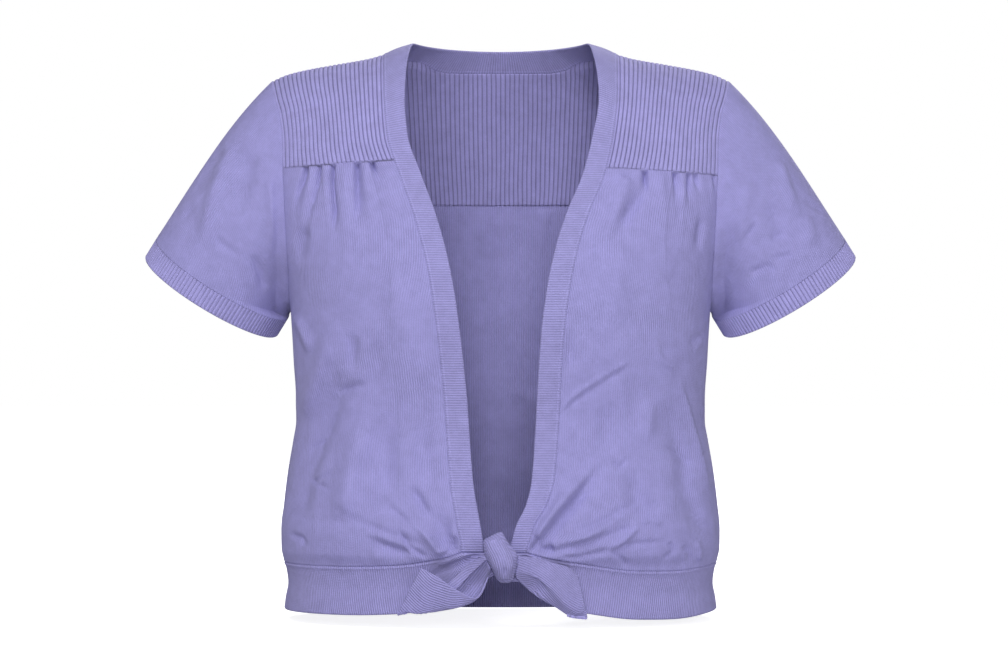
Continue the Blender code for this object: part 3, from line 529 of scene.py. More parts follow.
def sleeve(side):
    """Each line leaves the armhole outwards and turns down the sleeve: a cubic with given end slopes."""
    ring, top = armhole_ring(side)
    angles = ring_angles(ring, top)
    end = cuff_ring(angles, CUFF_HEIGHT)
    straight = end - ring
    reach = np.linalg.norm(straight, axis=1, keepdims=True)
    over = ((1 - np.cos(angles)) / 2)[:, None]
    heading = lerp(LEAVE_UNDER, LEAVE_OVER, over)
    leave = unit(lerp(np.array([1.0, 0.0, 0.0]), straight / reach, heading)) * reach
    arrive = lerp(straight, SLEEVE_AIM * reach, ARRIVE)
    outward = points(0.0, -np.sin(angles), 0.0) * SLEEVE_FULLNESS
    t = eased(SLEEVE_ROWS, 0.5)[:, None, None]
    bend = (1 - t) * (leave - straight) - t * (arrive - straight)
    return lerp(ring, end, t) + t * (1 - t) * (bend + 4 * outward)


print("armhole round:", len(armhole_ring("left")[0]), "points")

# %% [markdown]
# ## Creases
#
# Worn knitwear is never smooth. Under each yoke the cloth is gathered into a few deep, uneven pleats that
# die out downwards, pressed lines and tension folds run to the knot, and the cloth blouses over the
# waistband. Each crease is a row of a table: the line it follows as it is seen from the front or the back,
# how far it reaches to either side of that line, its height (below zero for a trough), and the share of its
# length over which it fades in and out. Its height at a place is h exp(-(d / reach)^2), with d the distance
# to the line. A gather, which starts at the seam itself, widens downwards and has a second, narrow trough
# along its middle, where real cloth folds under itself.

# %% Creases of the fronts
Crease = namedtuple("Crease", "line near far height fade_in fade_out")  # a row of a crease table
FRONT_CREASES = {
    "right": (
        # gathers
        (((-174, -115), (-175, -124), (-181, -143), (-184, -169)), 1.6, 4.0, -4.6, 0.0, 0.6),
        (((-160, -115), (-161, -124), (-163, -137), (-171, -166), (-176, -183)), 3.5, 1.6, -4.3, 0.0, 0.6),
        (((-149, -111), (-149, -120), (-149, -137), (-147, -158), (-148, -178)), 2.0, 2.6, -5.2, 0.0, 0.25),
        (((-128, -110), (-128, -119), (-127, -141), (-126, -174)), 1.7, 5.0, -5.6, 0.0, 0.3),
        (((-116, -110), (-113, -119), (-110, -124), (-105, -152)), 1.8, 4.5, -5.2, 0.0, 0.7),
        # cloth between them
        (((-168, -117), (-169, -126), (-174, -151), (-179, -183)), 3.0, 3.0, 1.4, 0.0, 0.6),
        (((-155, -117), (-155, -126), (-156, -152), (-161, -187)), 3.0, 3.0, 1.4, 0.0, 0.6),
        (((-137, -118), (-137, -127), (-136, -161), (-137, -201)), 6.0, 4.0, 2.4, 0.0, 0.6),
        (((-175, -170), (-178, -187), (-181, -202)), 5.0, 6.0, -5.0, 0.3, 0.5),
        # long ridge
        (((-142, -249), (-153, -280), (-168, -321), (-177, -342)), 9.0, 6.0, 4.9, 0.4, 0.4),
        (((-183, -248), (-173, -268), (-168, -284)), 5.0, 4.0, 4.1, 0.3, 0.4),
        (((-136, -294), (-155, -347), (-175, -395), (-179, -434)), 14.0, 9.0, -7.4, 0.3, 0.25),
        (((-176, -372), (-165, -363), (-159, -359)), 2.0, 2.4, -1.9, 0.3, 0.3),
        (((-173, -397), (-158, -393), (-147, -387)), 2.0, 2.5, -1.9, 0.3, 0.3),
        (((-175, -395), (-163, -399), (-147, -405)), 2.0, 2.5, -1.9, 0.3, 0.4),
        (((-190, -446), (-177, -448), (-175, -456)), 2.5, 3.0, -2.5, 0.3, 0.3),
        (((-114, -324), (-131, -393), (-138, -433)), 12.0, 9.0, 6.8, 0.4, 0.3),
        (((-101, -333), (-101, -378), (-101, -407)), 11.0, 10.0, -4.5, 0.4, 0.4),
        # by the knot
        (((-91, -435), (-80, -452), (-63, -463)), 2.0, 3.2, -2.4, 0.3, 0.2),
        (((-120, -445), (-96, -454), (-77, -459)), 7.0, 4.0, -5.0, 0.4, 0.3),
        (((-32, -435), (-39, -449), (-45, -457)), 4.0, 4.0, -3.6, 0.4, 0.1),
        (((-62, -416), (-50, -437), (-48, -455)), 7.0, 7.0, -4.5, 0.5, 0.2),
        (((-27, -411), (-32, -429), (-40, -446)), 5.0, 5.0, 4.6, 0.5, 0.2),
        (((-72, -429), (-58, -450), (-48, -460)), 5.0, 5.0, 4.6, 0.4, 0.3),
        # pulled to the knot
        (((-150, -420), (-112, -436), (-64, -452)), 3.0, 4.0, -2.0, 0.5, 0.2),
        (((-116, -404), (-82, -428), (-48, -450)), 4.0, 3.0, -1.9, 0.5, 0.2),
        (((-96, -412), (-74, -434), (-52, -453)), 3.0, 3.0, 2.0, 0.5, 0.2),
        # faint ones
        (((-79, -398), (-70, -413), (-59, -431)), 4.0, 4.0, -3.6, 0.4, 0.4),
        (((-132, -263), (-131, -282), (-134, -300)), 5.0, 6.0, -3.9, 0.4, 0.4),
        (((-147, -320), (-131, -314), (-117, -310)), 3.0, 4.0, -3.2, 0.4, 0.4),
        (((-110, -263), (-108, -298), (-109, -324)), 9.0, 9.0, -2.8, 0.4, 0.4),
        (((-71, -342), (-67, -372), (-60, -403)), 9.0, 9.0, -3.4, 0.4, 0.4),
        (((-97, -193), (-91, -237), (-90, -280)), 10.0, 10.0, 2.8, 0.4, 0.4),
    ),
    "left": (
        # gathers
        (((129, -116), (129, -125), (129, -137), (129, -145)), 4.5, 1.4, -4.8, 0.0, 0.6),
        (((127, -137), (119, -152), (110, -166), (100, -180)), 6.0, 4.5, -4.5, 0.3, 0.5),
        (((154, -115), (154, -124), (155, -136), (154, -158)), 1.3, 4.5, -4.8, 0.0, 0.6),
        (((167, -117), (167, -126), (167, -141), (168, -154)), 1.4, 4.0, -4.4, 0.0, 0.6),
        (((173, -116), (174, -125), (176, -135), (180, -144)), 2.2, 2.2, -3.6, 0.0, 0.6),
        (((190, -117), (191, -126), (196, -146), (196, -159)), 2.0, 3.0, -4.1, 0.0, 0.6),
        (((179, -161), (177, -180), (174, -193)), 4.0, 3.4, -3.4, 0.3, 0.5),
        (((188, -168), (193, -172), (198, -177)), 2.0, 2.4, -1.5, 0.3, 0.4),
        (((154, -157), (160, -159), (165, -158)), 1.8, 2.2, -1.4, 0.3, 0.4),
        # cloth between them
        (((142, -118), (142, -127), (143, -152), (139, -192)), 6.0, 5.0, 2.6, 0.0, 0.6),
        (((161, -119), (161, -128), (162, -152), (161, -183)), 2.5, 2.5, 1.3, 0.0, 0.6),
        (((186, -118), (187, -127), (190, -142), (190, -161)), 2.5, 2.0, 1.1, 0.0, 0.6),
        (((112, -128), (103, -153), (92, -184)), 7.0, 7.0, 3.8, 0.1, 0.5),
        (((115, -289), (86, -306), (63, -322), (44, -346), (35, -383), (28, -401)), 1.9, 1.9, 1.9, 0.1, 0.3),
        (((116, -293), (89, -309), (65, -326), (55, -335)), 2.4, 3.4, -1.2, 0.2, 0.4),
        # long ridge
        (((155, -296), (169, -338), (181, -380), (188, -412)), 4.0, 2.2, 2.3, 0.3, 0.3),
        (((141, -321), (164, -373), (167, -403), (187, -453)), 11.0, 7.0, -5.7, 0.3, 0.2),
        (((142, -366), (160, -371), (173, -382)), 2.4, 2.0, -1.5, 0.3, 0.3),
        (((97, -377), (105, -383), (113, -374)), 2.2, 2.6, -1.8, 0.3, 0.3),
        # tension
        (((92, -377), (70, -405), (54, -423), (36, -445), (24, -454)), 3.0, 6.5, -4.2, 0.3, 0.05),
        (((78, -382), (61, -404), (44, -425), (29, -444)), 7.0, 5.0, 5.2, 0.4, 0.1),
        (((150, -449), (118, -450), (96, -455), (70, -461), (52, -463)), 2.4, 3.4, -2.0, 0.2, 0.1),
        (((96, -455), (105, -463), (112, -470)), 2.4, 3.0, -1.9, 0.2, 0.2),
        (((124, -431), (109, -446), (91, -460)), 4.0, 3.0, 3.1, 0.3, 0.3),
        (((122, -432), (133, -430), (144, -433)), 2.5, 3.0, 2.0, 0.3, 0.3),
        (((148, -450), (152, -458), (142, -465)), 2.2, 2.6, -1.8, 0.2, 0.3),
        (((161, -453), (167, -460), (168, -469)), 2.5, 3.0, -2.0, 0.3, 0.3),
        (((174, -449), (177, -460), (176, -469)), 2.5, 3.0, 2.0, 0.3, 0.3),
        # under the arm
        (((167, -274), (174, -270), (182, -265)), 2.2, 2.2, -1.5, 0.3, 0.2),
        (((172, -282), (178, -275), (180, -268)), 2.0, 2.4, 1.5, 0.3, 0.3),
        (((137, -276), (144, -291), (156, -297)), 2.4, 2.4, 1.8, 0.3, 0.3),
        # pulled to the knot
        (((158, -424), (112, -436), (62, -452), (36, -458)), 3.0, 4.0, -2.2, 0.5, 0.1),
        (((138, -404), (102, -424), (64, -446)), 4.0, 3.0, -1.7, 0.5, 0.3),
        (((128, -418), (94, -432), (58, -450)), 3.0, 3.0, 1.6, 0.5, 0.2),
        (((84, -396), (64, -418), (46, -440)), 3.0, 3.5, -1.8, 0.4, 0.2),
        # faint ones
        (((131, -321), (130, -342), (128, -365)), 9.0, 7.0, 4.3, 0.4, 0.4),
        (((112, -386), (123, -412), (142, -427)), 10.0, 8.0, -4.8, 0.4, 0.4),
        (((52, -263), (57, -280), (61, -299)), 8.0, 8.0, -2.7, 0.4, 0.4),
        (((98, -324), (93, -351), (98, -370)), 9.0, 9.0, -3.0, 0.4, 0.4),
        (((105, -193), (101, -228), (106, -263)), 10.0, 10.0, 2.7, 0.4, 0.4),
        (((74, -446), (52, -452), (34, -456)), 4.0, 4.0, -3.5, 0.4, 0.1),
        (((98, -435), (69, -446), (45, -454)), 5.0, 4.0, 3.9, 0.4, 0.1),
    ),
}
print("creases of the fronts:", sum(map(len, FRONT_CREASES.values())))

# %% Creases of the back
BACK_CREASES = (
    # under the yoke
    (((42, -150), (41, -168), (38, -192)), 4.0, 5.0, -3.0, 0.05, 0.6),
    (((-58, -151), (-60, -166), (-66, -184)), 4.0, 4.0, -2.7, 0.1, 0.5),
    (((112, -152), (108, -172), (101, -200)), 6.0, 5.0, 3.7, 0.1, 0.5),
    (((-121, -150), (-117, -176), (-106, -208)), 5.0, 7.0, -4.0, 0.1, 0.5),
    # from the underarms
    (((-178, -250), (-152, -276), (-118, -322)), 9.0, 13.0, -5.3, 0.3, 0.4),
    (((176, -248), (140, -280), (104, -318)), 12.0, 9.0, -5.0, 0.3, 0.4),
    (((-166, -274), (-140, -300), (-113, -344)), 6.0, 8.0, 3.3, 0.3, 0.5),
    (((168, -270), (140, -300), (118, -338)), 8.0, 5.0, 3.1, 0.3, 0.5),
    (((-180, -322), (-150, -372), (-118, -446)), 9.0, 14.0, -5.5, 0.3, 0.3),
    (((178, -338), (156, -396), (130, -452)), 13.0, 8.0, -5.0, 0.3, 0.3),
    (((-160, -312), (-130, -372), (-96, -430)), 6.0, 5.0, 3.7, 0.3, 0.4),
    (((158, -344), (136, -400), (112, -440)), 6.0, 7.0, 3.1, 0.3, 0.4),
    # above the waistband
    (((-66, -372), (-48, -412), (-33, -458)), 10.0, 12.0, -5.3, 0.4, 0.2),
    (((36, -384), (44, -420), (53, -455)), 12.0, 9.0, -5.0, 0.4, 0.2),
    (((-8, -398), (3, -428), (6, -458)), 6.0, 7.0, 3.1, 0.4, 0.2),
    (((88, -410), (80, -436), (84, -464)), 5.0, 6.0, 3.7, 0.3, 0.2),
    (((-92, -440), (-76, -452), (-48, -459)), 4.0, 3.0, -2.4, 0.3, 0.3),
    (((60, -452), (84, -462), (112, -461)), 3.0, 4.0, -2.4, 0.3, 0.3),
    (((-150, -446), (-134, -458), (-112, -462)), 3.0, 4.0, -2.4, 0.3, 0.3),
    (((150, -452), (162, -461), (168, -469)), 3.0, 3.0, -1.7, 0.3, 0.3),
    # faint ones
    (((-52, -222), (-30, -248), (4, -268)), 7.0, 9.0, -1.6, 0.4, 0.4),
    (((14, -240), (41, -262), (84, -274)), 9.0, 7.0, -1.5, 0.4, 0.4),
    (((-92, -288), (-56, -306), (-14, -330)), 7.0, 10.0, -1.8, 0.4, 0.4),
    (((-6, -310), (34, -331), (76, -362)), 10.0, 8.0, -1.7, 0.4, 0.4),
    (((-16, -170), (-12, -216), (-20, -262)), 12.0, 12.0, 2.5, 0.4, 0.4),
    (((78, -196), (84, -226), (78, -262)), 9.0, 9.0, -2.9, 0.4, 0.4),
    (((-92, -222), (-84, -262), (-86, -302)), 11.0, 10.0, 2.9, 0.4, 0.4),
)
print("creases of the back:", len(BACK_CREASES))

# %% Creases of the sleeves
SLEEVE_CREASES = {  # the first table is the sleeve's front, the second its back
    "right": ((
        (((-240, -87), (-252, -122), (-261, -157), (-269, -194)), 7.0, 7.0, 3.7, 0.3, 0.3),
        (((-249, -95), (-264, -119), (-279, -142)), 8.0, 8.0, -2.9, 0.3, 0.4),
        (((-228, -101), (-229, -128), (-234, -173)), 10.0, 9.0, -3.4, 0.3, 0.4),
        (((-276, -151), (-281, -157), (-287, -162)), 2.4, 2.6, -1.8, 0.3, 0.3),
        (((-260, -176), (-248, -187), (-229, -199)), 3.0, 3.4, -2.1, 0.4, 0.4),
        (((-207, -120), (-204, -160), (-205, -200)), 4.0, 4.0, 2.7, 0.3, 0.3),
        # beside the body
        (((-188, -150), (-189, -196), (-196, -246), (-206, -276)), 28.0, 20.0, -9.0, 0.6, 0.0),
        (((-221, -196), (-214, -214), (-212, -232)), 4.0, 5.0, -3.0, 0.3, 0.4),
    ), (
        (((-238, -92), (-250, -128), (-257, -166)), 8.0, 6.0, -3.7, 0.3, 0.4),
        (((-252, -90), (-266, -122), (-272, -150)), 5.0, 6.0, 2.9, 0.3, 0.4),
        (((-212, -150), (-226, -176), (-246, -196)), 5.0, 4.0, -3.0, 0.3, 0.4),
        (((-208, -188), (-220, -206), (-238, -216)), 4.0, 4.0, -2.7, 0.3, 0.4),
    )),
    "left": ((
        (((251, -108), (258, -133), (267, -157)), 7.0, 3.4, 3.5, 0.3, 0.4),
        (((242, -146), (249, -171), (256, -191)), 9.0, 9.0, -3.4, 0.3, 0.4),
        (((274, -145), (283, -151), (292, -157)), 2.5, 2.6, -1.8, 0.3, 0.3),
        (((242, -181), (249, -178), (256, -175)), 2.4, 2.4, -1.6, 0.3, 0.3),
        (((243, -199), (253, -197), (263, -194)), 2.6, 3.0, -1.9, 0.3, 0.3),
        (((222, -214), (230, -209), (239, -206), (246, -211)), 4.0, 3.0, -2.4, 0.3, 0.3),
        (((230, -168), (224, -174), (218, -183)), 3.0, 2.6, -1.9, 0.3, 0.3),
        # beside the body
        (((188, -150), (189, -196), (196, -246), (206, -276)), 20.0, 28.0, -9.0, 0.6, 0.0),
        (((220, -128), (217, -159), (211, -191)), 9.0, 8.0, 2.9, 0.3, 0.4),
        (((272, -160), (277, -174), (276, -190)), 6.0, 6.0, 3.2, 0.3, 0.4),
    ), (
        (((236, -88), (246, -124), (262, -160)), 6.0, 8.0, -4.0, 0.3, 0.4),
        (((222, -110), (229, -142), (240, -176)), 6.0, 5.0, 3.4, 0.3, 0.4),
        (((210, -158), (228, -180), (252, -192)), 4.0, 5.0, -3.0, 0.3, 0.4),
        (((270, -138), (279, -152), (290, -160)), 2.5, 3.0, -1.9, 0.3, 0.3),
    )),
}
print("creases of the sleeves:", sum(len(table) for pair in SLEEVE_CREASES.values() for table in pair))

# %% Height of the creases
LINE_STEPS = 40
FARTHEST = 40.0 * MM  # a crease isn't felt beyond this
PLEAT_CORE = 1.4 * MM
CORE_DEPTH = 0.4  # of the pleat's own


def crease_heights(grid, creases):
    """Sum over the creases of h exp(-(d / reach)^2), where reach differs on the line's two sides and h fades
    towards its ends. One that starts at a seam (fade_in 0) is a gather: it widens downwards, and a trough of
    that kind has a narrow core, where the cloth folds under itself."""
    seen = grid[..., (0, 2)].reshape(-1, 2)
    total = np.zeros(len(seen))
    for crease in map(Crease._make, creases):
        line = through(MM * np.array(crease.line, float), np.linspace(0.0, 1.0, LINE_STEPS + 1))
        low, high = line.min(axis=0) - FARTHEST, line.max(axis=0) + FARTHEST
        close = np.flatnonzero(np.all((seen > low) & (seen < high), axis=1))
        away = seen[close, None, :] - line
        nearest = np.sum(away**2, axis=2).argmin(axis=1)
        offset = away[np.arange(len(close)), nearest]
        distance = np.linalg.norm(offset, axis=1)
        tangent = np.gradient(line, axis=0)[nearest]
        far_side = tangent[:, 0] * offset[:, 1] - tangent[:, 1] * offset[:, 0] > 0
        share = nearest / LINE_STEPS
        gather = crease.fade_in == 0
        reach = np.where(far_side, crease.far, crease.near) * MM * (0.65 + 0.7 * share if gather else 1.0)
        fade = smooth(share / max(crease.fade_in, 1e-6)) * smooth((1 - share) / max(crease.fade_out, 1e-6))
        shape = fade * bell(distance, reach)
        if gather and crease.height < 0:
            shape = shape + CORE_DEPTH * smooth((0.85 - share) / 0.6) * bell(distance, PLEAT_CORE)
        total[close] += crease.height * MM * shape
    return total.reshape(grid.shape[:-1])


deepest = crease_heights(front("left", eased(60)), FRONT_CREASES["left"]).min()
print("deepest trough of the left front:", round(-1000 * deepest, 1), "mm")

# %% [markdown]
# ## From points to cloth
#
# A knitted panel is a thin wall whose edges roll. The outer face is the grid moved out by its relief (ribs
# and so on), the inner face is the same grid moved in by the cloth's thickness, and near every edge both
# come together in a quarter round, which leaves the fine groove of a linked seam between two panels. The UV
# map is in metres of cloth, or in ribs times their pitch, so a stitch keeps its size and its direction
# wherever the cloth turns. Some edges stay flat or roll only half as deep, because on the real garment
# those seams barely show.

# %% Lengths and directions on a panel
ROLL = 1.2 * MM
SEAM_ROLL = 0.8 * MM  # at a flat seam, which barely shows, so that it rolls half as deep
FLAT = 0.0
ROLL_DEPTH = 0.42  # of the cloth's thickness, on each face


def grid_normals(grid, tube=False):
    """Unit normals: (the step down) x (the step across) at each point."""
    down = np.gradient(grid, axis=0)
    across = np.roll(grid, -1, axis=1) - np.roll(grid, 1, axis=1) if tube else np.gradient(grid, axis=1)
    return unit(np.cross(down, across))


def faces_inwards(grid, tube=False):
    """Whether the normals point at the panel's core: a tube's own middle, or else the body's."""
    row = len(grid) * 3 // 4
    middle = grid[row]
    at = len(middle) // 4
    core = middle.mean(axis=0) if tube else np.array([0.0, 0.0, middle[at, 2]])
    return np.dot(grid_normals(grid, tube)[row, at], middle[at] - core) < 0


def outward_normals(grid, tube=False):
    """grid_normals, times -1 where they point inwards."""
    normals = grid_normals(grid, tube)
    return -normals if faces_inwards(grid, tube) else normals


def closed_round(grid, tube):
    """A tube's grid with its first column said again as its last."""
    return np.concatenate([grid, grid[:, :1]], axis=1) if tube else grid


def ways(grid, tube=False):
    """(across, down): length along each row from its start, and along each column from its top."""
    closed = closed_round(grid, tube)
    step = np.linalg.norm(np.diff(closed, axis=1), axis=2)
    across = np.concatenate([0 * step[:, :1], np.cumsum(step, axis=1)], axis=1)
    step = np.linalg.norm(np.diff(closed, axis=0), axis=2)
    return across, np.concatenate([0 * step[:1], np.cumsum(step, axis=0)])


def panel_area(grid, tube):
    """Sum of |diagonal x diagonal| / 2 over the quads."""
    closed = closed_round(grid, tube)
    one, two = closed[1:, 1:] - closed[:-1, :-1], closed[1:, :-1] - closed[:-1, 1:]
    return float(np.linalg.norm(np.cross(one, two), axis=2).sum() / 2)


def edge_nearness(grid, tube, rolls):
    """1 at an edge and 0 from its roll's width inwards, by 1 - d / width, and half of that at a flat seam.
    The rolls are the widths at the top, the bottom, the first and the last column."""

    def near(distance, width):
        most = 1.0 if width > SEAM_ROLL else 0.5
        return most * np.clip(1 - distance / max(width, 1e-9), 0.0, 1.0) * (width > 0)

    top, bottom, first, last = rolls
    across, down = ways(grid, tube)
    if tube:
        down = down[:, :-1]
        return np.maximum(near(down, top), near(down[-1] - down, bottom))
    ends = np.maximum(near(down, top), near(down[-1] - down, bottom))
    return np.maximum(ends, np.maximum(near(across, first), near(across[:, -1:] - across, last)))


plain_front = panel_area(front("left", eased(60)), False)
print("area of the left front without creases:", round(10000 * plain_front), "cm2")

# %% A panel as a mesh


def mesh_object(name, places, faces, uvs, material, smooth_faces):
    """An object at the origin from places, faces by number, and a UV for each corner of each face."""
    mesh = bpy.data.meshes.new(name)
    mesh.from_pydata(places, [], faces)
    mesh.polygons.foreach_set("use_smooth", smooth_faces)
    layer = mesh.uv_layers.new(name="cloth")
    layer.data.foreach_set("uv", np.ascontiguousarray(uvs, float).ravel())
    mesh.materials.append(material)
    mesh.update()
    obj = bpy.data.objects.new(name, mesh)
    bpy.context.scene.collection.objects.link(obj)
    return obj


def wall_faces(rows, columns, tube):
    """The quads of the outer face, of the inner face and of the rim along each edge, with (face, row, column)
    for each of their four corners."""

    def quads(*corners):
        return np.stack([points(*corner) for corner in corners], axis=1)

    steps = np.arange(columns if tube else columns - 1)
    i, j = (k.ravel() for k in np.meshgrid(np.arange(rows - 1), steps, indexing="ij"))
    corners = ((i, j), (i + 1, j), (i + 1, j + 1), (i, j + 1))
    edges = [(0, steps + 1, 0, steps), (rows - 1, steps, rows - 1, steps + 1)]
    if not tube:
        k = np.arange(rows - 1)
        edges += [(k, 0, k + 1, 0), (k + 1, columns - 1, k, columns - 1)]
    outer = quads(*((0, a, b) for a, b in corners))
    inner = quads(*((1, a, b) for a, b in corners[::-1]))
    return outer, inner, *(quads((0, c, d), (0, a, b), (1, a, b), (1, c, d)) for a, b, c, d in edges)


def cloth(name, grid, thickness, material, tube=False, relief=0.0, inner_relief=0.0, roll=ROLL,
          counts=None, bars=False):
    """A closed wall on a grid: outer = grid + n relief, inner = grid - n (thickness - inner relief), both
    rolled together at the edges by 0.42 thickness (1 - sqrt(1 - (1 - d / roll)^2)). Its UV is the length
    across, or the counts, and the length down, which bars takes from the middle column."""
    rolls = roll if isinstance(roll, tuple) else (roll,) * 4
    if faces_inwards(grid, tube):
        grid, relief, inner_relief, counts = (
            values[:, ::-1] if isinstance(values, np.ndarray) else values
            for values in (grid, relief, inner_relief, counts)
        )
        rolls = (rolls[0], rolls[1], rolls[3], rolls[2])
    normals = grid_normals(grid, tube)
    near = edge_nearness(grid, tube, rolls)
    rolled = ROLL_DEPTH * thickness * (1 - np.sqrt(1 - near**2))
    outer = grid + normals * (relief * (1 - near) - rolled)[..., None]
    inner = grid - normals * (thickness - inner_relief * (1 - near) - rolled)[..., None]
    places = np.concatenate([outer.reshape(-1, 3), inner.reshape(-1, 3)])

    across, down = ways(grid, tube)
    across = across - across[:, across.shape[1] // 2][:, None] if counts is None else counts
    if bars:
        down = down[:, down.shape[1] // 2][:, None] + 0 * down
    rows, columns = grid.shape[:2]
    parts = wall_faces(rows, columns, tube)
    smooth_faces = [np.full(len(part), width > 0) for part, width in zip(parts, (ROLL, ROLL, *rolls))]
    face, row, column = np.moveaxis(np.concatenate(parts), -1, 0)
    faces = face * rows * columns + row * columns + column % columns
    uvs = np.stack([across[row, column], down[row, column]], axis=-1)
    return mesh_object(name, places.tolist(), faces.tolist(), uvs, material, np.concatenate(smooth_faces))


def declare(obj, node, grid, tube=False):
    """The piece stands for its node, which is hidden, and rides on the body; the width, length and area of
    its cloth are printed.
    """
    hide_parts(node)
    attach(obj, "root")
    across, down = ways(grid, tube)
    width, length = float(across[:, -1].max()), float(down[-1].max())
    area = min(panel_area(grid, tube), width * length)
    print(f"{obj.name}: {1000 * width:.0f} x {1000 * length:.0f} mm, {10000 * area:.0f} cm2")


print("thickness of the ribbed cloth:", RIB / MM, "mm")

# %% [markdown]
# ## Knit as a material
#
# All the cloth is one periwinkle cotton yarn, so the five finishes share their yarn and differ in stitch.
# The yarn is matt with a faint fuzz (sheen), slightly heathered: three noises of different size mottle the
# colour, and a fourth bumps the cloth into soft rumples. Each finish reads the UV map: across it stand the
# wales or ribs, along it the single stitches, and both make a bump. They also paint shade into the colour:
# a little darker in the grooves and in the wales' troughs, a little lighter on the raised loops as a painted
# highlight. The two bands that are linked on also have a chain of stitches beside their seam, raised and
# painted lighter as a highlight. A small class lets sockets be added and multiplied like numbers.

# %% Shader arithmetic


class Wave:
    """A socket that plain arithmetic can be done on."""

    def __init__(self, tree, socket):
        self.tree, self.socket = tree, socket

    def math(self, operation, *others):
        """The result of a Math node on this socket and others, which may be numbers."""
        node = self.tree.nodes.new("ShaderNodeMath")
        node.operation = operation
        for slot_in, value in zip(node.inputs, (self, *others)):
            if isinstance(value, Wave):
                self.tree.links.new(value.socket, slot_in)
            else:
                slot_in.default_value = value
        return Wave(self.tree, node.outputs[0])

    def number(self, value):
        """A number as a socket, for an operation that starts with it."""
        node = self.tree.nodes.new("ShaderNodeValue")
        node.outputs[0].default_value = value
        return Wave(self.tree, node.outputs[0])

    def __add__(self, other):
        return self.math("ADD", other)

    def __sub__(self, other):
        return self.math("SUBTRACT", other)

    def __mul__(self, other):
        return self.math("MULTIPLY", other)

    def __rsub__(self, other):
        return self.number(other).math("SUBTRACT", self)

    __radd__ = __add__
    __rmul__ = __mul__


class Finish:
    """A material and the nodes that it is made of."""

    def __init__(self, name):
        self.material = bpy.data.materials.new(name)
        self.material.use_nodes = True
        self.tree = self.material.node_tree
        self.shader = self.tree.nodes["Principled BSDF"]

    def add(self, kind, settings=None, **inputs):
        """A node of a kind: its settings first, then the values or links of its inputs."""
        node = self.tree.nodes.new(kind)
        for key, value in (settings or {}).items():
            setattr(node, key, value)
        for key, value in inputs.items():
            socket = node.inputs[key.replace("_", " ")]
            if isinstance(value, Wave):
                self.tree.links.new(value.socket, socket)
            else:
                socket.default_value = value
        return node

    def out(self, node, name):
        """The wave that leaves a node by a named output."""
        return Wave(self.tree, node.outputs[name])

    def set(self, name, value):
        """A plain value, or a wave, for one input of the shader."""
        socket = self.shader.inputs[name]
        if isinstance(value, Wave):
            self.tree.links.new(value.socket, socket)
        else:
            socket.default_value = value


def linear(srgb):
    """((c + 0.055) / 1.055)^2.4: a colour as it is seen, turned into light."""
    return tuple(((c + 0.055) / 1.055) ** 2.4 for c in srgb)


print("a light grey of 0.8 is this much light:", round(linear((0.8,))[0], 3))

# %% Knit finishes
STITCH = 1.45 * MM  # from one stitch to the next along a wale
WALE = 2.15 * MM
FINE_RIB = 2.1 * MM
BAND_BAR = 2.2 * MM
WIDE_RIB = 4.05 * MM
GROOVE = 0.3  # width of the shaded groove between ribs, as a sine
CHAIN_FROM_SEAM = 2.0 * MM
CHAIN_WIDTH = 0.7 * MM
CHAIN_STITCH = 2.9 * MM
BUMP_HEIGHT = 0.24 * MM
RUMPLES, CLOUDS, HEATHER, FUZZ = 48.0, 22.0, 95.0, 900.0  # scales of the noises, to the metre


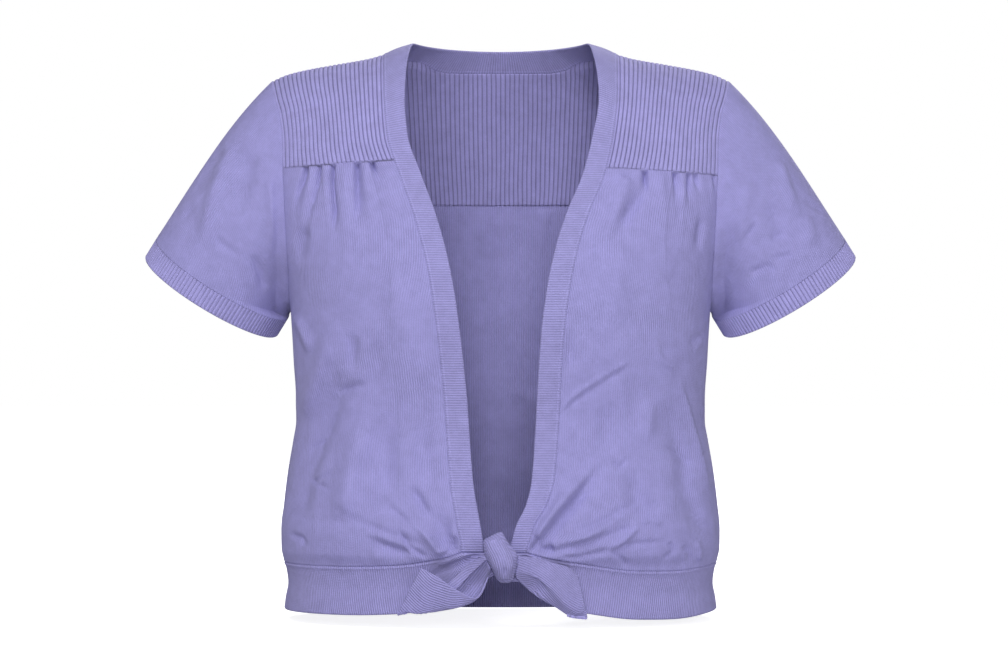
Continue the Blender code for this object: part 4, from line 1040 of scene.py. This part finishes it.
def knit(name, srgb, pitch, wale, groove, stitch, swap=False, hollow=0.16, rumpled=1.2 * MM, painted_trough_shade=0.05,
         even=0.0, chain=0.0):
    """height = stitch cos(2 pi (b / STITCH + zigzag of a)) - wale cos(2 pi a / pitch) - groove exp(-(sin(pi a
    / pitch) / 0.3)^2), where a runs across the wales and b along them. The colour has the same waves as
    painted
    shade: darker in the grooves and the wales' troughs, and lighter on the raised loops, a painted highlight.
    A chain of linking stitches, chain exp(-((b - 2 mm) / 0.7 mm)^2), can lie beside the seam where b starts;
    it is painted lighter too, a painted highlight."""
    finish = Finish(name)
    place = finish.out(finish.add("ShaderNodeTexCoord"), "Object")

    def noise(scale, detail, **more):
        node = finish.add("ShaderNodeTexNoise", Vector=place, Scale=scale, Detail=detail, **more)
        return finish.out(node, "Fac")

    cloth_uv = finish.out(finish.add("ShaderNodeUVMap", {"uv_map": "cloth"}), "UV")
    uv = finish.add("ShaderNodeSeparateXYZ", Vector=cloth_uv)
    across, along = finish.out(uv, "X"), finish.out(uv, "Y")
    if swap:
        across, along = along, across
    heather = noise(HEATHER, 5.0, Roughness=0.6)
    cloudy = noise(CLOUDS, 3.0)
    fuzz = noise(FUZZ, 2.0)
    turn = across * (2 * math.pi / pitch)
    dip = (turn * 0.5).math("SINE") * (1 / GROOVE)
    grooves = (dip * dip * -1.0).math("EXPONENT")
    zigzag = (across * (1 / pitch)).math("PINGPONG", 0.5)
    loops = ((along * (1 / STITCH) + zigzag) * (2 * math.pi)).math("COSINE")
    patchy = (cloudy * 2.4 - 0.7) * (1 - even) + even
    wales = turn.math("COSINE") * patchy
    height = wales * (-wale) - grooves * groove + loops * stitch + (fuzz - 0.5) * 0.9
    # Painted shade: the colour is darker in the rib grooves and in the wales' troughs, and a painted
    # highlight makes it a little lighter on the raised loops.
    shade = 1.0 - grooves * hollow - (wales * 0.5 + 0.5) * painted_trough_shade + loops * (0.02 * stitch)
    shade = shade + (heather - 0.5) * 0.32 + (cloudy - 0.5) * 0.16 + (fuzz - 0.5) * 0.22
    if chain:
        beside = (along - CHAIN_FROM_SEAM) * (1 / CHAIN_WIDTH)
        links = (across * (2 * math.pi / CHAIN_STITCH)).math("COSINE") * 0.35 + 0.65
        stitches = (beside * beside * -1.0).math("EXPONENT") * links * chain
        height = height + stitches * 1.2
        # Painted highlight: the raised chain of linking stitches is painted lighter.
        shade = shade + stitches * 0.16
    rumple = noise(RUMPLES, 2.5, Distortion=0.6)
    soft = finish.add("ShaderNodeBump", Height=rumple, Strength=0.8, Distance=rumpled)
    bump = finish.add("ShaderNodeBump", Height=height, Strength=1.0, Distance=BUMP_HEIGHT)
    finish.tree.links.new(soft.outputs["Normal"], bump.inputs["Normal"])
    finish.set("Normal", finish.out(bump, "Normal"))
    colour = finish.add("ShaderNodeVectorMath", {"operation": "SCALE"}, Scale=shade)
    colour.inputs[0].default_value = linear(srgb)
    finish.set("Base Color", Wave(finish.tree, colour.outputs[0]))
    finish.set("Roughness", 0.92)
    finish.set("Sheen Weight", 0.12)
    finish.set("Sheen Roughness", 0.5)
    finish.set("Sheen Tint", (0.80, 0.78, 1.0, 1.0))
    finish.set("Specular IOR Level", 0.2)
    return finish.material


# In each finish, hollow sets the painted shade in the rib grooves, and the trough setting sets the painted
# shade in the wales' troughs.
JERSEY_KNIT = knit(
    "fine plain knit", (0.583, 0.567, 0.783), WALE, wale=1.0, groove=0.0, stitch=0.25,
    rumpled=1.6 * MM, painted_trough_shade=0.1,
)
YOKE_KNIT = knit(
    "wide ribbed knit", (0.600, 0.582, 0.795), WIDE_RIB, wale=0.0, groove=0.4, stitch=0.45, hollow=0.5,
)
BAND_KNIT = knit(
    "narrow band knit", (0.592, 0.576, 0.788), BAND_BAR, wale=0.9, groove=0.0, stitch=0.2, swap=True,
    rumpled=0.3 * MM, painted_trough_shade=0.2, even=0.5, chain=1.0,
)
CUFF_KNIT = knit(
    "sleeve band knit", (0.595, 0.577, 0.790), WIDE_RIB, wale=0.0, groove=0.4, stitch=0.45, hollow=0.45,
)
TIE_KNIT = knit(
    "fine ribbed knit", (0.605, 0.587, 0.805), FINE_RIB, wale=1.3, groove=0.1, stitch=0.3,
    rumpled=0.8 * MM, painted_trough_shade=0.16, even=0.6, chain=0.7,
)
print("finishes:", len(bpy.data.materials))

# %% [markdown]
# ## Yokes
#
# The yokes are knitted in a wide flat rib, about four millimetres from groove to groove. The ribs are real
# relief here, because their shadows are what the eye reads: flat tops with a narrow groove between, on the
# outside and, on the back yoke, also on the inside, which shows through the open neck. They run down the
# columns, so they lean with the armhole and end at the straight seam. On the front their grooves run out
# just above it, so that the edge is even where the gathers start.

# %% Front yokes
RIB_DEPTH = 1.25 * MM
INNER_RIB_DEPTH = 1.0 * MM
CUFF_RIB_DEPTH = 0.9 * MM
FRONT_RIBS = 25
FRONT_WANDER = 0.16 * MM
WANDER_SEEDS = {"right": 4, "left": 9}


def rib_relief(counts, depth):
    """-depth exp(-(sin(pi c / pitch) / 0.42)^2): flat ribs with a groove at every whole pitch."""
    return -depth * bell(np.sin(np.pi * counts / WIDE_RIB), 0.42)


def wander(counts, size, seed):
    """A slow sideways drift of the ribs, as hand-finished knit has. A rib's place c moves by size times the
    sum, over k = 1, 2.2 and 3.7, of sin(k pi t + a + 90 c) cos(17 c + b), with t the share down the panel
    and a and b two random phases."""
    rng = np.random.default_rng(seed)
    t = np.linspace(0.0, 1.0, len(counts))[:, None]
    drift = 0 * counts
    for k in (1.0, 2.2, 3.7):
        a, b = rng.uniform(0.0, 2 * np.pi, 2)
        drift = drift + np.sin(k * np.pi * t + a + 9.0 * counts / 0.1) * np.cos(17.0 * counts + b)
    return counts + size * drift


def rib_ends(grid):
    """1 - 0.75 exp(-(d / 1.8 mm)^2), the share that is left of a groove's depth at a distance from the
    straight seam: the grooves run out just above it."""
    _, down = ways(grid)
    return 1 - 0.75 * bell(down[-1] - down, 1.8 * MM)


for side in SIGN:
    across = np.linspace(0.0, 1.0, FRONT_RIBS * 10 + 1)
    grid = mirrored(front_yoke(side, across), side)
    counts = np.broadcast_to((across * FRONT_RIBS + 0.5) * WIDE_RIB, grid.shape[:2])
    counts = wander(counts, FRONT_WANDER, WANDER_SEEDS[side])
    relief = rib_relief(counts, RIB_DEPTH) * rib_ends(grid)
    obj = cloth(f"knit_front_yoke_{side}", grid, RIB, YOKE_KNIT, relief=relief, counts=counts,
                roll=(SEAM_ROLL, FLAT, SEAM_ROLL, FLAT))
    declare(obj, f"front_yoke_{side}", grid)

# %% Back yoke
BACK_COLUMNS = 760
BACK_WANDER = 0.2 * MM
CORNER_X = 98.0 * MM  # where the shoulder's arch meets the neck's, at the seam below
CORNER_WIDTH = 30.0 * MM
CORNER_SPREAD = 50  # columns


def blended(sheet, foot_x):
    """Rows of x, y, z and rib count averaged sideways where the shoulder's arch meets the neck's, so that the
    cloth slopes softly there instead of folding, and the ribs keep their even step: each column moves towards
    the mean of its neighbours, weighted exp(-(steps / spread)^2), by exp(-((x - corner) / width)^2)."""
    steps = np.arange(-2 * CORNER_SPREAD, 2 * CORNER_SPREAD + 1)
    shares = bell(steps, CORNER_SPREAD)
    shares = shares / shares.sum()
    padded = np.pad(sheet, ((0, 0), (2 * CORNER_SPREAD, 2 * CORNER_SPREAD), (0, 0)), mode="edge")
    mean = sum(share * padded[:, k : k + sheet.shape[1]] for k, share in enumerate(shares))
    _, down = ways(sheet[..., :3])
    weight = bell(np.abs(foot_x) - CORNER_X, CORNER_WIDTH) * smooth(down / (9 * MM))
    weight = weight * smooth((down[-1] - down) / (3 * MM))
    return sheet + weight[..., None] * (mean - sheet)


grid, foot_x = back_yoke(BACK_COLUMNS)
back_ribs = 2 * round(foot_x.max() / WIDE_RIB - 0.5) + 1
counts = np.broadcast_to(foot_x * back_ribs * WIDE_RIB / (2 * foot_x.max()), grid.shape[:2])
sheet = np.concatenate([grid, counts[..., None]], axis=-1)
sheet = blended(blended(sheet, foot_x), foot_x)
grid = sheet[..., :3]
counts = wander(sheet[..., 3], BACK_WANDER, 3) + 60 * WIDE_RIB
relief = rib_relief(counts, RIB_DEPTH)
inside = rib_relief(counts, INNER_RIB_DEPTH)
obj = cloth("knit_back_yoke", grid, RIB, YOKE_KNIT, relief=relief, inner_relief=inside, counts=counts,
            roll=(SEAM_ROLL, FLAT, FLAT, FLAT))
declare(obj, "back_yoke", grid)
print("ribs across the back yoke:", back_ribs)

# %% [markdown]
# ## Fronts and back
#
# These are plain knit. Their creases move the cloth along its own normal and fade out close to the seams,
# but quickly under the yoke, where the gathers start at the seam itself. The knit's wales bump the cloth
# through the material, which also paints shade into the colour of their troughs.

# %% Fronts and back
STILL_AT_TOP = 0.8 * MM
STILL_ELSEWHERE = 7.0 * MM
RIDGE_RISE = 6.4 * MM
UNDERARM_BLEND = 22.0 * MM
UNDERARM_HELD = 26.0 * MM
PASSES = 260


def creased(grid, creases):
    """grid + n * creases, held still within a short distance of the seams. Under the top seam a ridge comes
    up more slowly than a trough goes down, so that the edge stays upright and closed against the yoke."""
    across, down = ways(grid)
    sides = np.minimum(across, across[:, -1:] - across)
    held_still = smooth(down / STILL_AT_TOP) * smooth(np.minimum(sides, down[-1] - down) / STILL_ELSEWHERE)
    heights = crease_heights(grid, creases) * held_still
    heights = np.where(heights > 0, heights * smooth(down / RIDGE_RISE), heights)
    return grid + outward_normals(grid) * heights[..., None]


def relaxed(grid, weight):
    """Each inner row moved by its weight towards the middle of the rows above and below, many times over."""
    grid = grid.copy()
    for _ in range(PASSES):
        grid[1:-1] += weight * ((grid[2:] + grid[:-2]) / 2 - grid[1:-1])
    return grid


def softened(grid):
    """The rows near the underarm relaxed, except at the seams: there the armhole's end would otherwise press
    a straight line across the cloth."""
    across, _ = ways(grid)
    free = smooth(across / UNDERARM_HELD) * smooth((across[:, -1:] - across) / UNDERARM_HELD)
    weight = 0.5 * bell(grid[..., 2] - UNDERARM_Z, UNDERARM_BLEND) * free
    return relaxed(grid, weight[1:-1, :, None])


for side in SIGN:
    grid = mirrored(softened(front(side, eased(184, 0.25))), side)
    grid = creased(grid, FRONT_CREASES[side])
    obj = cloth(f"knit_front_{side}", grid, JERSEY, JERSEY_KNIT, roll=(FLAT, ROLL, FLAT, FLAT))
    declare(obj, f"front_{side}", grid)

grid = creased(softened(back(eased(204, 0.2))), BACK_CREASES)
obj = cloth("knit_back", grid, JERSEY, JERSEY_KNIT, roll=(FLAT, ROLL, FLAT, FLAT))
declare(obj, "back", grid)

# %% [markdown]
# ## Neck band
#
# One narrow band edges both fronts and the back of the neck. It is knitted sideways, so its fine bars run
# across it, and it is linked on with a raised line of stitches along its seam. The wearer's right front
# carries on round the neck and is joined to the left one at the neck point.

# %% Neck band
BAND_COLUMNS = 26
BAND_CROWN = 0.5 * MM
LINK_HEIGHT = 0.45 * MM
LINK_FROM_SEAM = 1.9 * MM
LINK_WIDTH = 0.6 * MM
NECK_POINT_BLEND = 20.0 * MM


def band_relief(grid):
    """A crowned band, 0.5 mm sin(pi u), with a ridge of linking stitches beside its seam, 0.45 mm exp(-((d -
    1.9 mm) / 0.6 mm)^2)."""
    across, _ = ways(grid)
    u = across / across[:, -1:]
    return BAND_CROWN * np.sin(np.pi * u) + LINK_HEIGHT * bell(across - LINK_FROM_SEAM, LINK_WIDTH)


across = eased(BAND_COLUMNS, 0.4)
sides = {side: mirrored(front_band(side, across), side) for side in SIGN}
round_neck = back_neck_band(np.linspace(0.0, np.pi, 150), across)[1:-1]
strip = np.concatenate([sides["left"][::-1], round_neck, sides["right"]])
to_point = np.linalg.norm(np.abs(strip) - (NECK_POINT_X, 0, 0), axis=2)
weight = 0.5 * bell(to_point, NECK_POINT_BLEND) * across**1.5
strip = relaxed(strip, weight[1:-1, :, None])
join = len(sides["left"]) - 1
for side, grid in (("right", strip[join:]), ("left", strip[: join + 1][::-1])):
    from_seam, _ = ways(grid)
    obj = cloth(f"knit_front_band_{side}", grid, RIB, BAND_KNIT, relief=band_relief(grid), counts=from_seam,
                roll=(ROLL, ROLL, SEAM_ROLL, ROLL), bars=True)
    declare(obj, f"front_band_{side}", grid)

# %% [markdown]
# ## Waistband
#
# The waistband is fine vertical rib. It grips a little below its seam, so the cloth above blouses over it.
# Towards the middle of the front each side narrows and becomes the tie that goes into the knot.

# %% Waistband
TIE_CREASES = {
    "right": (
        (((-70, -484), (-42, -470), (-17, -460)), 2.5, 3.5, -2.4, 0.4, 0.1),
        (((-54, -470), (-36, -462), (-17, -454)), 2.4, 2.6, 1.8, 0.3, 0.1),
        (((-56, -470), (-38, -459), (-20, -451)), 1.5, 1.8, 0.9, 0.3, 0.1),
        (((-60, -474), (-40, -466), (-18, -457)), 1.2, 1.6, -1.2, 0.4, 0.1),
    ),
    "left": (
        (((60, -476), (38, -468), (18, -460)), 3.0, 2.5, -1.5, 0.4, 0.1),
        (((46, -468), (30, -462), (16, -455)), 2.2, 2.2, 1.2, 0.3, 0.1),
    ),
}
WAIST_LINK_HEIGHT = 0.4 * MM
WAIST_LINK_FROM_SEAM = 2.0 * MM
TURN_STARTS, TURN_LENGTH = 70.0 * MM, 40.0 * MM  # from the knot: there the ribs turn to run along the tie


def seam_ridge(grid):
    """The linking stitches under the waist seam: a low ridge, 0.4 mm exp(-((d - 2 mm) / 0.6 mm)^2)."""
    _, down = ways(grid)
    return WAIST_LINK_HEIGHT * bell(down - WAIST_LINK_FROM_SEAM, LINK_WIDTH)


def front_waist_seam(side):
    """The waistband's upper edge: below the front, below the neck band's foot, and on into the knot."""
    band_foot = front_band(side, np.linspace(0.0, 1.0, 12))[-1]
    share = np.linspace(0.0, 1.0, 10)[1:]
    x = lerp(band_foot[-1, 0], 0.3 * MM, share)
    z = lerp(band_foot[-1, 2], curve(FRONT_WAIST[side], 1, x), share)
    below_front = front(side, np.linspace(0.0, 1.0, 150))[-1][::-1]
    return np.concatenate([below_front, band_foot[1:], on_section(z, -1, angle_at(x, z, -1))])


down = eased(26, 0.5)
for side in SIGN:
    seam_row = front_waist_seam(side)
    heights = lerp(TIE_HEIGHT, WAISTBAND_HEIGHT, smooth((seam_row[:, 0] - TIE_STARTS_X) / TIE_TAPER))
    grid = mirrored(waistband(seam_row, heights, down), side)
    relief = seam_ridge(grid) + crease_heights(grid, TIE_CREASES[side])
    along, depth = ways(grid)
    from_knot = along[:, -1:] - along
    counts = lerp(from_knot, 0.9 * depth, smooth((TURN_STARTS - from_knot) / TURN_LENGTH))
    obj = cloth(f"knit_waistband_{side}", grid, RIB, TIE_KNIT, relief=relief, counts=counts,
                roll=(ROLL, ROLL, FLAT, ROLL))
    declare(obj, f"waistband_{side}", grid)

seam_row = back(np.linspace(0.0, 1.0, 260))[-1]
grid = waistband(seam_row, np.full(len(seam_row), WAISTBAND_HEIGHT), down)
obj = cloth("knit_waistband_back", grid, RIB, TIE_KNIT, relief=seam_ridge(grid),
            roll=(ROLL, ROLL, FLAT, FLAT))
declare(obj, "waistband_back", grid)

# %% [markdown]
# ## Sleeves and their bands
#
# A short set-in sleeve falls from the armhole to a narrow band of the same wide rib as the yokes. The front
# of each sleeve has the soft creases that show, and the back has its own.

# %% Sleeves with their creases and bands
CUFF_RIBS = 116
CUFF_COLUMNS = 7 * CUFF_RIBS

for side in SIGN:
    grid = mirrored(sleeve(side), side)
    normals = outward_normals(grid, tube=True)
    fore, aft = SLEEVE_CREASES[side]
    facing, behind = smooth(-normals[..., 1] / 0.5), smooth(normals[..., 1] / 0.5)
    heights = crease_heights(grid, fore) * facing + crease_heights(grid, aft) * behind
    length = ways(grid, tube=True)[1][:, :-1]
    held_still = smooth(length / (12 * MM)) * smooth((length[-1] - length) / (4 * MM))
    grid = grid + normals * (heights * held_still)[..., None]
    obj = cloth(f"knit_sleeve_{side}", grid, JERSEY, JERSEY_KNIT, tube=True, roll=FLAT)
    declare(obj, f"sleeve_{side}", grid, tube=True)

    angles = np.linspace(0.0, 2 * np.pi, CUFF_COLUMNS + 1)[:-1]
    steps = CUFF_HEIGHT * (1 - eased(12, 0.5))
    grid = mirrored(np.stack([cuff_ring(angles, step) for step in steps]), side)
    counts = np.linspace(0.0, CUFF_RIBS * WIDE_RIB, CUFF_COLUMNS + 1) + 0 * steps[:, None]
    relief = rib_relief(counts[:, :-1], CUFF_RIB_DEPTH)
    obj = cloth(f"knit_cuff_{side}", grid, RIB, CUFF_KNIT, tube=True, relief=relief, counts=counts,
                roll=(SEAM_ROLL, ROLL, ROLL, ROLL))
    declare(obj, f"cuff_{side}", grid, tube=True)

# %% [markdown]
# ## The knot and its ends
#
# The two ends of the waistband are tied once. What shows of the knot is one strip that crosses it from the
# upper right to the lower left of the wearer, pulled smooth, with fine ribs along it and a small dimple
# where it tucks under. Behind it the hidden layers make one rounded body. The ends leave it folded
# lengthwise and open towards their tips.

# %% Knot
KNOT = np.array([  # height, left, right, front, back
    (-438.5, -1.5, 2.0, -138.0, -132.0),
    (-441.5, -8.0, 3.5, -144.0, -127.5),
    (-446.0, -14.5, 6.0, -149.0, -126.6),
    (-452.5, -14.3, 11.0, -153.0, -126.4),
    (-459.5, -12.4, 15.2, -155.0, -126.4),
    (-466.5, -9.2, 14.6, -154.5, -126.4),
    (-473.5, -5.6, 12.6, -151.0, -126.6),
    (-479.5, -3.0, 11.2, -145.0, -128.0),
    (-482.5, 0.5, 8.0, -139.0, -131.0),
])
WRAP = np.array([  # x and height of the strip's one edge, and of its other
    (-13.6, -447.0, -1.0, -441.0),
    (-13.0, -453.0, 4.6, -447.5),
    (-10.6, -460.5, 10.4, -455.5),
    (-7.2, -468.0, 12.0, -464.5),
    (-4.0, -474.5, 10.6, -473.0),
    (-1.2, -479.0, 9.0, -479.0),
])
KNOT_SQUARENESS = 2.2
KNOT_ROWS = 46
KNOT_SIDES = 72
KNOT_CAP = 0.15  # from the table's first and last height to the rings there


def oval(z):
    """(middle x, half width, middle y, half depth) of the knot at a height, in millimetres."""
    left, right, fore, aft = (curve(KNOT, k, z) for k in (1, 2, 3, 4))
    return (left + right) / 2, (right - left) / 2, (fore + aft) / 2, (aft - fore) / 2


def knot_front(x, z):
    """y of the knot's front: middle - depth (1 - |s|^p)^(1/p), with s the share of the half width."""
    middle_x, width, middle_y, depth = oval(z)
    share = np.clip(np.abs(x - middle_x) / width, 0.0, 1.0)
    return middle_y - depth * (1 - share**KNOT_SQUARENESS) ** (1 / KNOT_SQUARENESS)


z = np.linspace(KNOT[-1, 0] + KNOT_CAP, KNOT[0, 0] - KNOT_CAP, KNOT_ROWS)[:, None]
a = np.linspace(0.0, 2 * np.pi, KNOT_SIDES + 1)[None, :-1]
middle_x, width, middle_y, depth = oval(z)
x = middle_x + power(np.cos(a), 2 / KNOT_SQUARENESS) * width
grid = MM * points(x, middle_y + power(np.sin(a), 2 / KNOT_SQUARENESS) * depth, z)
places = np.concatenate([grid.reshape(-1, 3), grid[:1].mean(axis=1), grid[-1:].mean(axis=1)])
j = np.arange(KNOT_SIDES)
k = (j + 1) % KNOT_SIDES
i = KNOT_SIDES * np.arange(KNOT_ROWS - 1)[:, None]
sides = np.stack([i + j, i + k, i + KNOT_SIDES + k, i + KNOT_SIDES + j], axis=-1).reshape(-1, 4)
last = KNOT_SIDES * (KNOT_ROWS - 1)
caps = np.concatenate([
    np.stack([0 * j + len(places) - 2, k, j], axis=1),
    np.stack([0 * j + len(places) - 1, last + j, last + k], axis=1),
])
faces = sides.tolist() + caps.tolist()
corners = np.array([index for face in faces for index in face])
uvs = np.stack([places[:, 0] * 0.5 + places[:, 2] * 0.85, places[:, 2] * 0.5 - places[:, 0] * 0.85], axis=-1)
knot = mesh_object("knit_knot", places.tolist(), faces, uvs[corners], TIE_KNIT, np.ones(len(faces), bool))
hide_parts("knot")
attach(knot, "root")
print("faces of the knot:", len(faces))

# %% Strip over the knot
WRAP_ROWS = 60
WRAP_COLUMNS = 48
WRAP_LIFT = 2.6  # in front of the knot, in millimetres like all of this cell
PLEATS = 6

t = np.linspace(0.0, 1.0, WRAP_ROWS)[:, None]
u = np.linspace(0.0, 1.0, WRAP_COLUMNS)[None, :]
rows = through(WRAP, t[:, 0])
x, z = lerp(rows[:, :1], rows[:, 2:3], u), lerp(rows[:, 1:2], rows[:, 3:4], u)
grid = MM * points(x, knot_front(x, z) - WRAP_LIFT, z)
pleats = -0.45 * bell(np.sin(np.pi * PLEATS * u**1.3), 0.35) * smooth((0.62 - t) / 0.5)
dimple = -1.7 * bell(x - 3.9, 1.7) * bell(z + 470.6, 3.4)
hollow = -0.8 * bell(x - 9.5 + 0.3 * (z + 465), 2.2) * bell(z + 457, 7.0)
relief = MM * (pleats + dimple + hollow + 0.9 * np.sin(np.pi * u))
obj = cloth("knit_knot_wrap", grid, JERSEY, TIE_KNIT, relief=relief, roll=2.0 * MM)
declare(obj, "knot_wrap", grid)

# %% Tie ends
HEM_HEIGHT = 0.3 * MM
HEM_FROM_EDGE = 1.4 * MM
HEM_WIDTH = 0.9 * MM
TIE_ENDS = {  # rows from the knot to the tip, each of five points across
    "right": np.array([
        ((-11.6, -142.0, -461.6), (-13.2, -138.6, -458.2), (-12.0, -137.6, -462.0), (-10.4, -138.0, -465.5),
         (-8.5, -139.5, -469.5)),
        ((-25.2, -131.6, -474.8), (-29.4, -127.6, -467.6), (-23.1, -124.6, -476.9), (-15.2, -126.6, -483.9),
         (-10.6, -132.5, -478.2)),
        ((-39.0, -128.2, -489.0), (-44.8, -124.8, -482.4), (-37.0, -122.8, -494.3), (-26.6, -127.0, -500.0),
         (-20.5, -133.0, -495.6)),
        ((-58.0, -122.4, -501.5), (-63.1, -119.9, -496.1), (-56.1, -119.5, -506.5), (-43.2, -127.0, -504.0),
         (-39.6, -131.0, -487.8)),
        ((-77.4, -117.4, -509.2), (-80.5, -115.9, -508.0), (-71.1, -118.4, -511.0), (-62.0, -123.0, -497.0),
         (-54.4, -126.0, -478.2)),
        ((-88.6, -115.4, -510.4), (-90.1, -114.4, -512.0), (-84.4, -116.2, -500.4), (-77.0, -119.0, -485.6),
         (-69.2, -121.0, -470.4)),
    ]),
    "left": np.array([
        ((15.7, -139.0, -459.1), (15.4, -139.5, -464.7), (14.1, -139.5, -470.8), (13.4, -138.0, -475.0),
         (13.8, -134.5, -479.0)),
        ((30.9, -129.5, -460.8), (30.5, -132.0, -468.2), (29.2, -132.0, -477.4), (32.0, -128.0, -481.3),
         (23.6, -123.6, -489.6)),
        ((45.7, -127.5, -465.2), (44.8, -130.0, -477.8), (44.0, -130.0, -487.8), (41.4, -125.5, -493.0),
         (34.0, -120.8, -498.0)),
        ((58.8, -124.5, -469.1), (58.8, -127.0, -484.8), (56.6, -127.0, -500.4), (50.1, -122.8, -503.0),
         (45.5, -119.0, -504.6)),
        ((65.7, -122.5, -473.9), (69.2, -124.0, -489.1), (70.1, -124.0, -508.2), (60.5, -120.5, -512.6),
         (59.0, -118.6, -511.8)),
        ((68.3, -121.5, -476.6), (72.3, -122.5, -492.6), (74.9, -122.5, -505.6), (76.0, -121.0, -514.0),
         (75.4, -120.0, -515.2)),
    ]),
}
for side in SIGN:
    lengthwise = through(MM * TIE_ENDS[side], np.linspace(0.0, 1.0, 90))
    grid = np.swapaxes(through(np.swapaxes(lengthwise, 0, 1), eased(46, 0.3)), 0, 1)
    grid = grid + grid_normals(grid) * JERSEY / 2
    across, _ = ways(grid)
    to_side = np.minimum(across, across[:, -1:] - across)
    relief = HEM_HEIGHT * bell(to_side - HEM_FROM_EDGE, HEM_WIDTH)
    obj = cloth(f"knit_tie_end_{side}", grid, JERSEY, TIE_KNIT, relief=relief, roll=1.0 * MM)
    declare(obj, f"tie_end_{side}", grid)

# %% [markdown]
# ## Floor, light and camera
#
# The photograph is a plain product shot on white: soft light from all round, and a faint contact shadow
# under the hem. Even surroundings give the soft part. A large key light stands high on the wearer's right,
# another straight in front, just above the shoulders, lights what the first leaves dark, a faint fill comes
# from the wearer's left, and one behind shows the back to whoever walks round. The camera stands three
# metres off at mid height, with a long lens.

# %% Floor and surroundings
FLOOR_BELOW = 1.0 * MM
FLOOR_REACH = 9.0
FLOOR_GREY = 0.60
FLOOR_GLOW = 0.85  # only for the camera, so that white paper stays white without lighting the cloth
AMBIENT = 0.27
WHITE = (1.0, 1.0, 1.0, 1.0)

scene = bpy.context.scene
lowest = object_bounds()[0][2]
corners = FLOOR_REACH * np.array([(-1, -1), (1, -1), (1, 1), (-1, 1)])
floor_mesh = bpy.data.meshes.new("floor")
floor_mesh.from_pydata([(x, y, lowest - FLOOR_BELOW) for x, y in corners.tolist()], [], [(0, 1, 2, 3)])
floor = bpy.data.objects.new("floor", floor_mesh)
scene.collection.objects.link(floor)
paper = Finish("white paper")
paper.set("Base Color", (FLOOR_GREY, FLOOR_GREY, FLOOR_GREY, 1.0))
paper.set("Roughness", 1.0)
paper.set("Specular IOR Level", 0.0)
paper.set("Emission Color", WHITE)
to_camera = paper.out(paper.add("ShaderNodeLightPath"), "Is Camera Ray")
paper.set("Emission Strength", to_camera * FLOOR_GLOW)
floor_mesh.materials.append(paper.material)

world = scene.world or bpy.data.worlds.new("world")
scene.world = world
world.use_nodes = True
sky = world.node_tree
background = sky.nodes["Background"]
background.inputs["Color"].default_value = WHITE
path = sky.nodes.new("ShaderNodeLightPath")
level = sky.nodes.new("ShaderNodeMapRange")
level.inputs["To Min"].default_value = AMBIENT
level.inputs["To Max"].default_value = 1.0
sky.links.new(path.outputs["Is Camera Ray"], level.inputs["Value"])
sky.links.new(level.outputs["Result"], background.inputs["Strength"])
print("lowest point of the cloth:", round(lowest, 4))

# %% Lights


def area_light(name, place, aim, width, watts):
    """A round lamp facing its aim: tilted by its angle from straight down, turned by its angle round z."""
    data = bpy.data.lights.new(name, "AREA")
    data.shape = "DISK"
    data.size = width
    data.energy = watts
    light = bpy.data.objects.new(name, data)
    light.location = place
    x, y, z = np.subtract(aim, place)
    light.rotation_euler = (math.atan2(math.hypot(x, y), -z), 0.0, math.atan2(x, -y) + math.pi)
    scene.collection.objects.link(light)


area_light("key", (-0.75, -2.2, 2.25), (0.0, 0.0, -0.28), 1.3, 54.0)
area_light("front", (0.1, -3.3, 0.15), (0.0, 0.0, -0.3), 0.9, 49.0)
area_light("fill", (2.0, -2.2, 0.35), (0.0, 0.0, -0.3), 1.2, 11.0)
area_light("back", (0.5, 2.6, 1.5), (0.0, 0.0, -0.28), 0.9, 66.0)
print("lights:", len(bpy.data.lights))

# %% Camera
FOCAL_LENGTH_PX = 3296.7
PICTURE_WIDTH_PX = 1008
SENSOR_WIDTH = 36.0

camera_data = bpy.data.cameras.new("camera")
camera_data.sensor_width = SENSOR_WIDTH
camera_data.lens = FOCAL_LENGTH_PX / PICTURE_WIDTH_PX * SENSOR_WIDTH
camera = bpy.data.objects.new("camera", camera_data)
camera.location = (3.2 * MM, -3.0, -268.0 * MM)
camera.rotation_euler = (math.pi / 2, 0.0, 0.0)
scene.collection.objects.link(camera)
scene.camera = camera
scene.view_settings.view_transform = "Standard"
scene.view_settings.look = "None"
print("focal length:", round(camera_data.lens, 1), "mm")
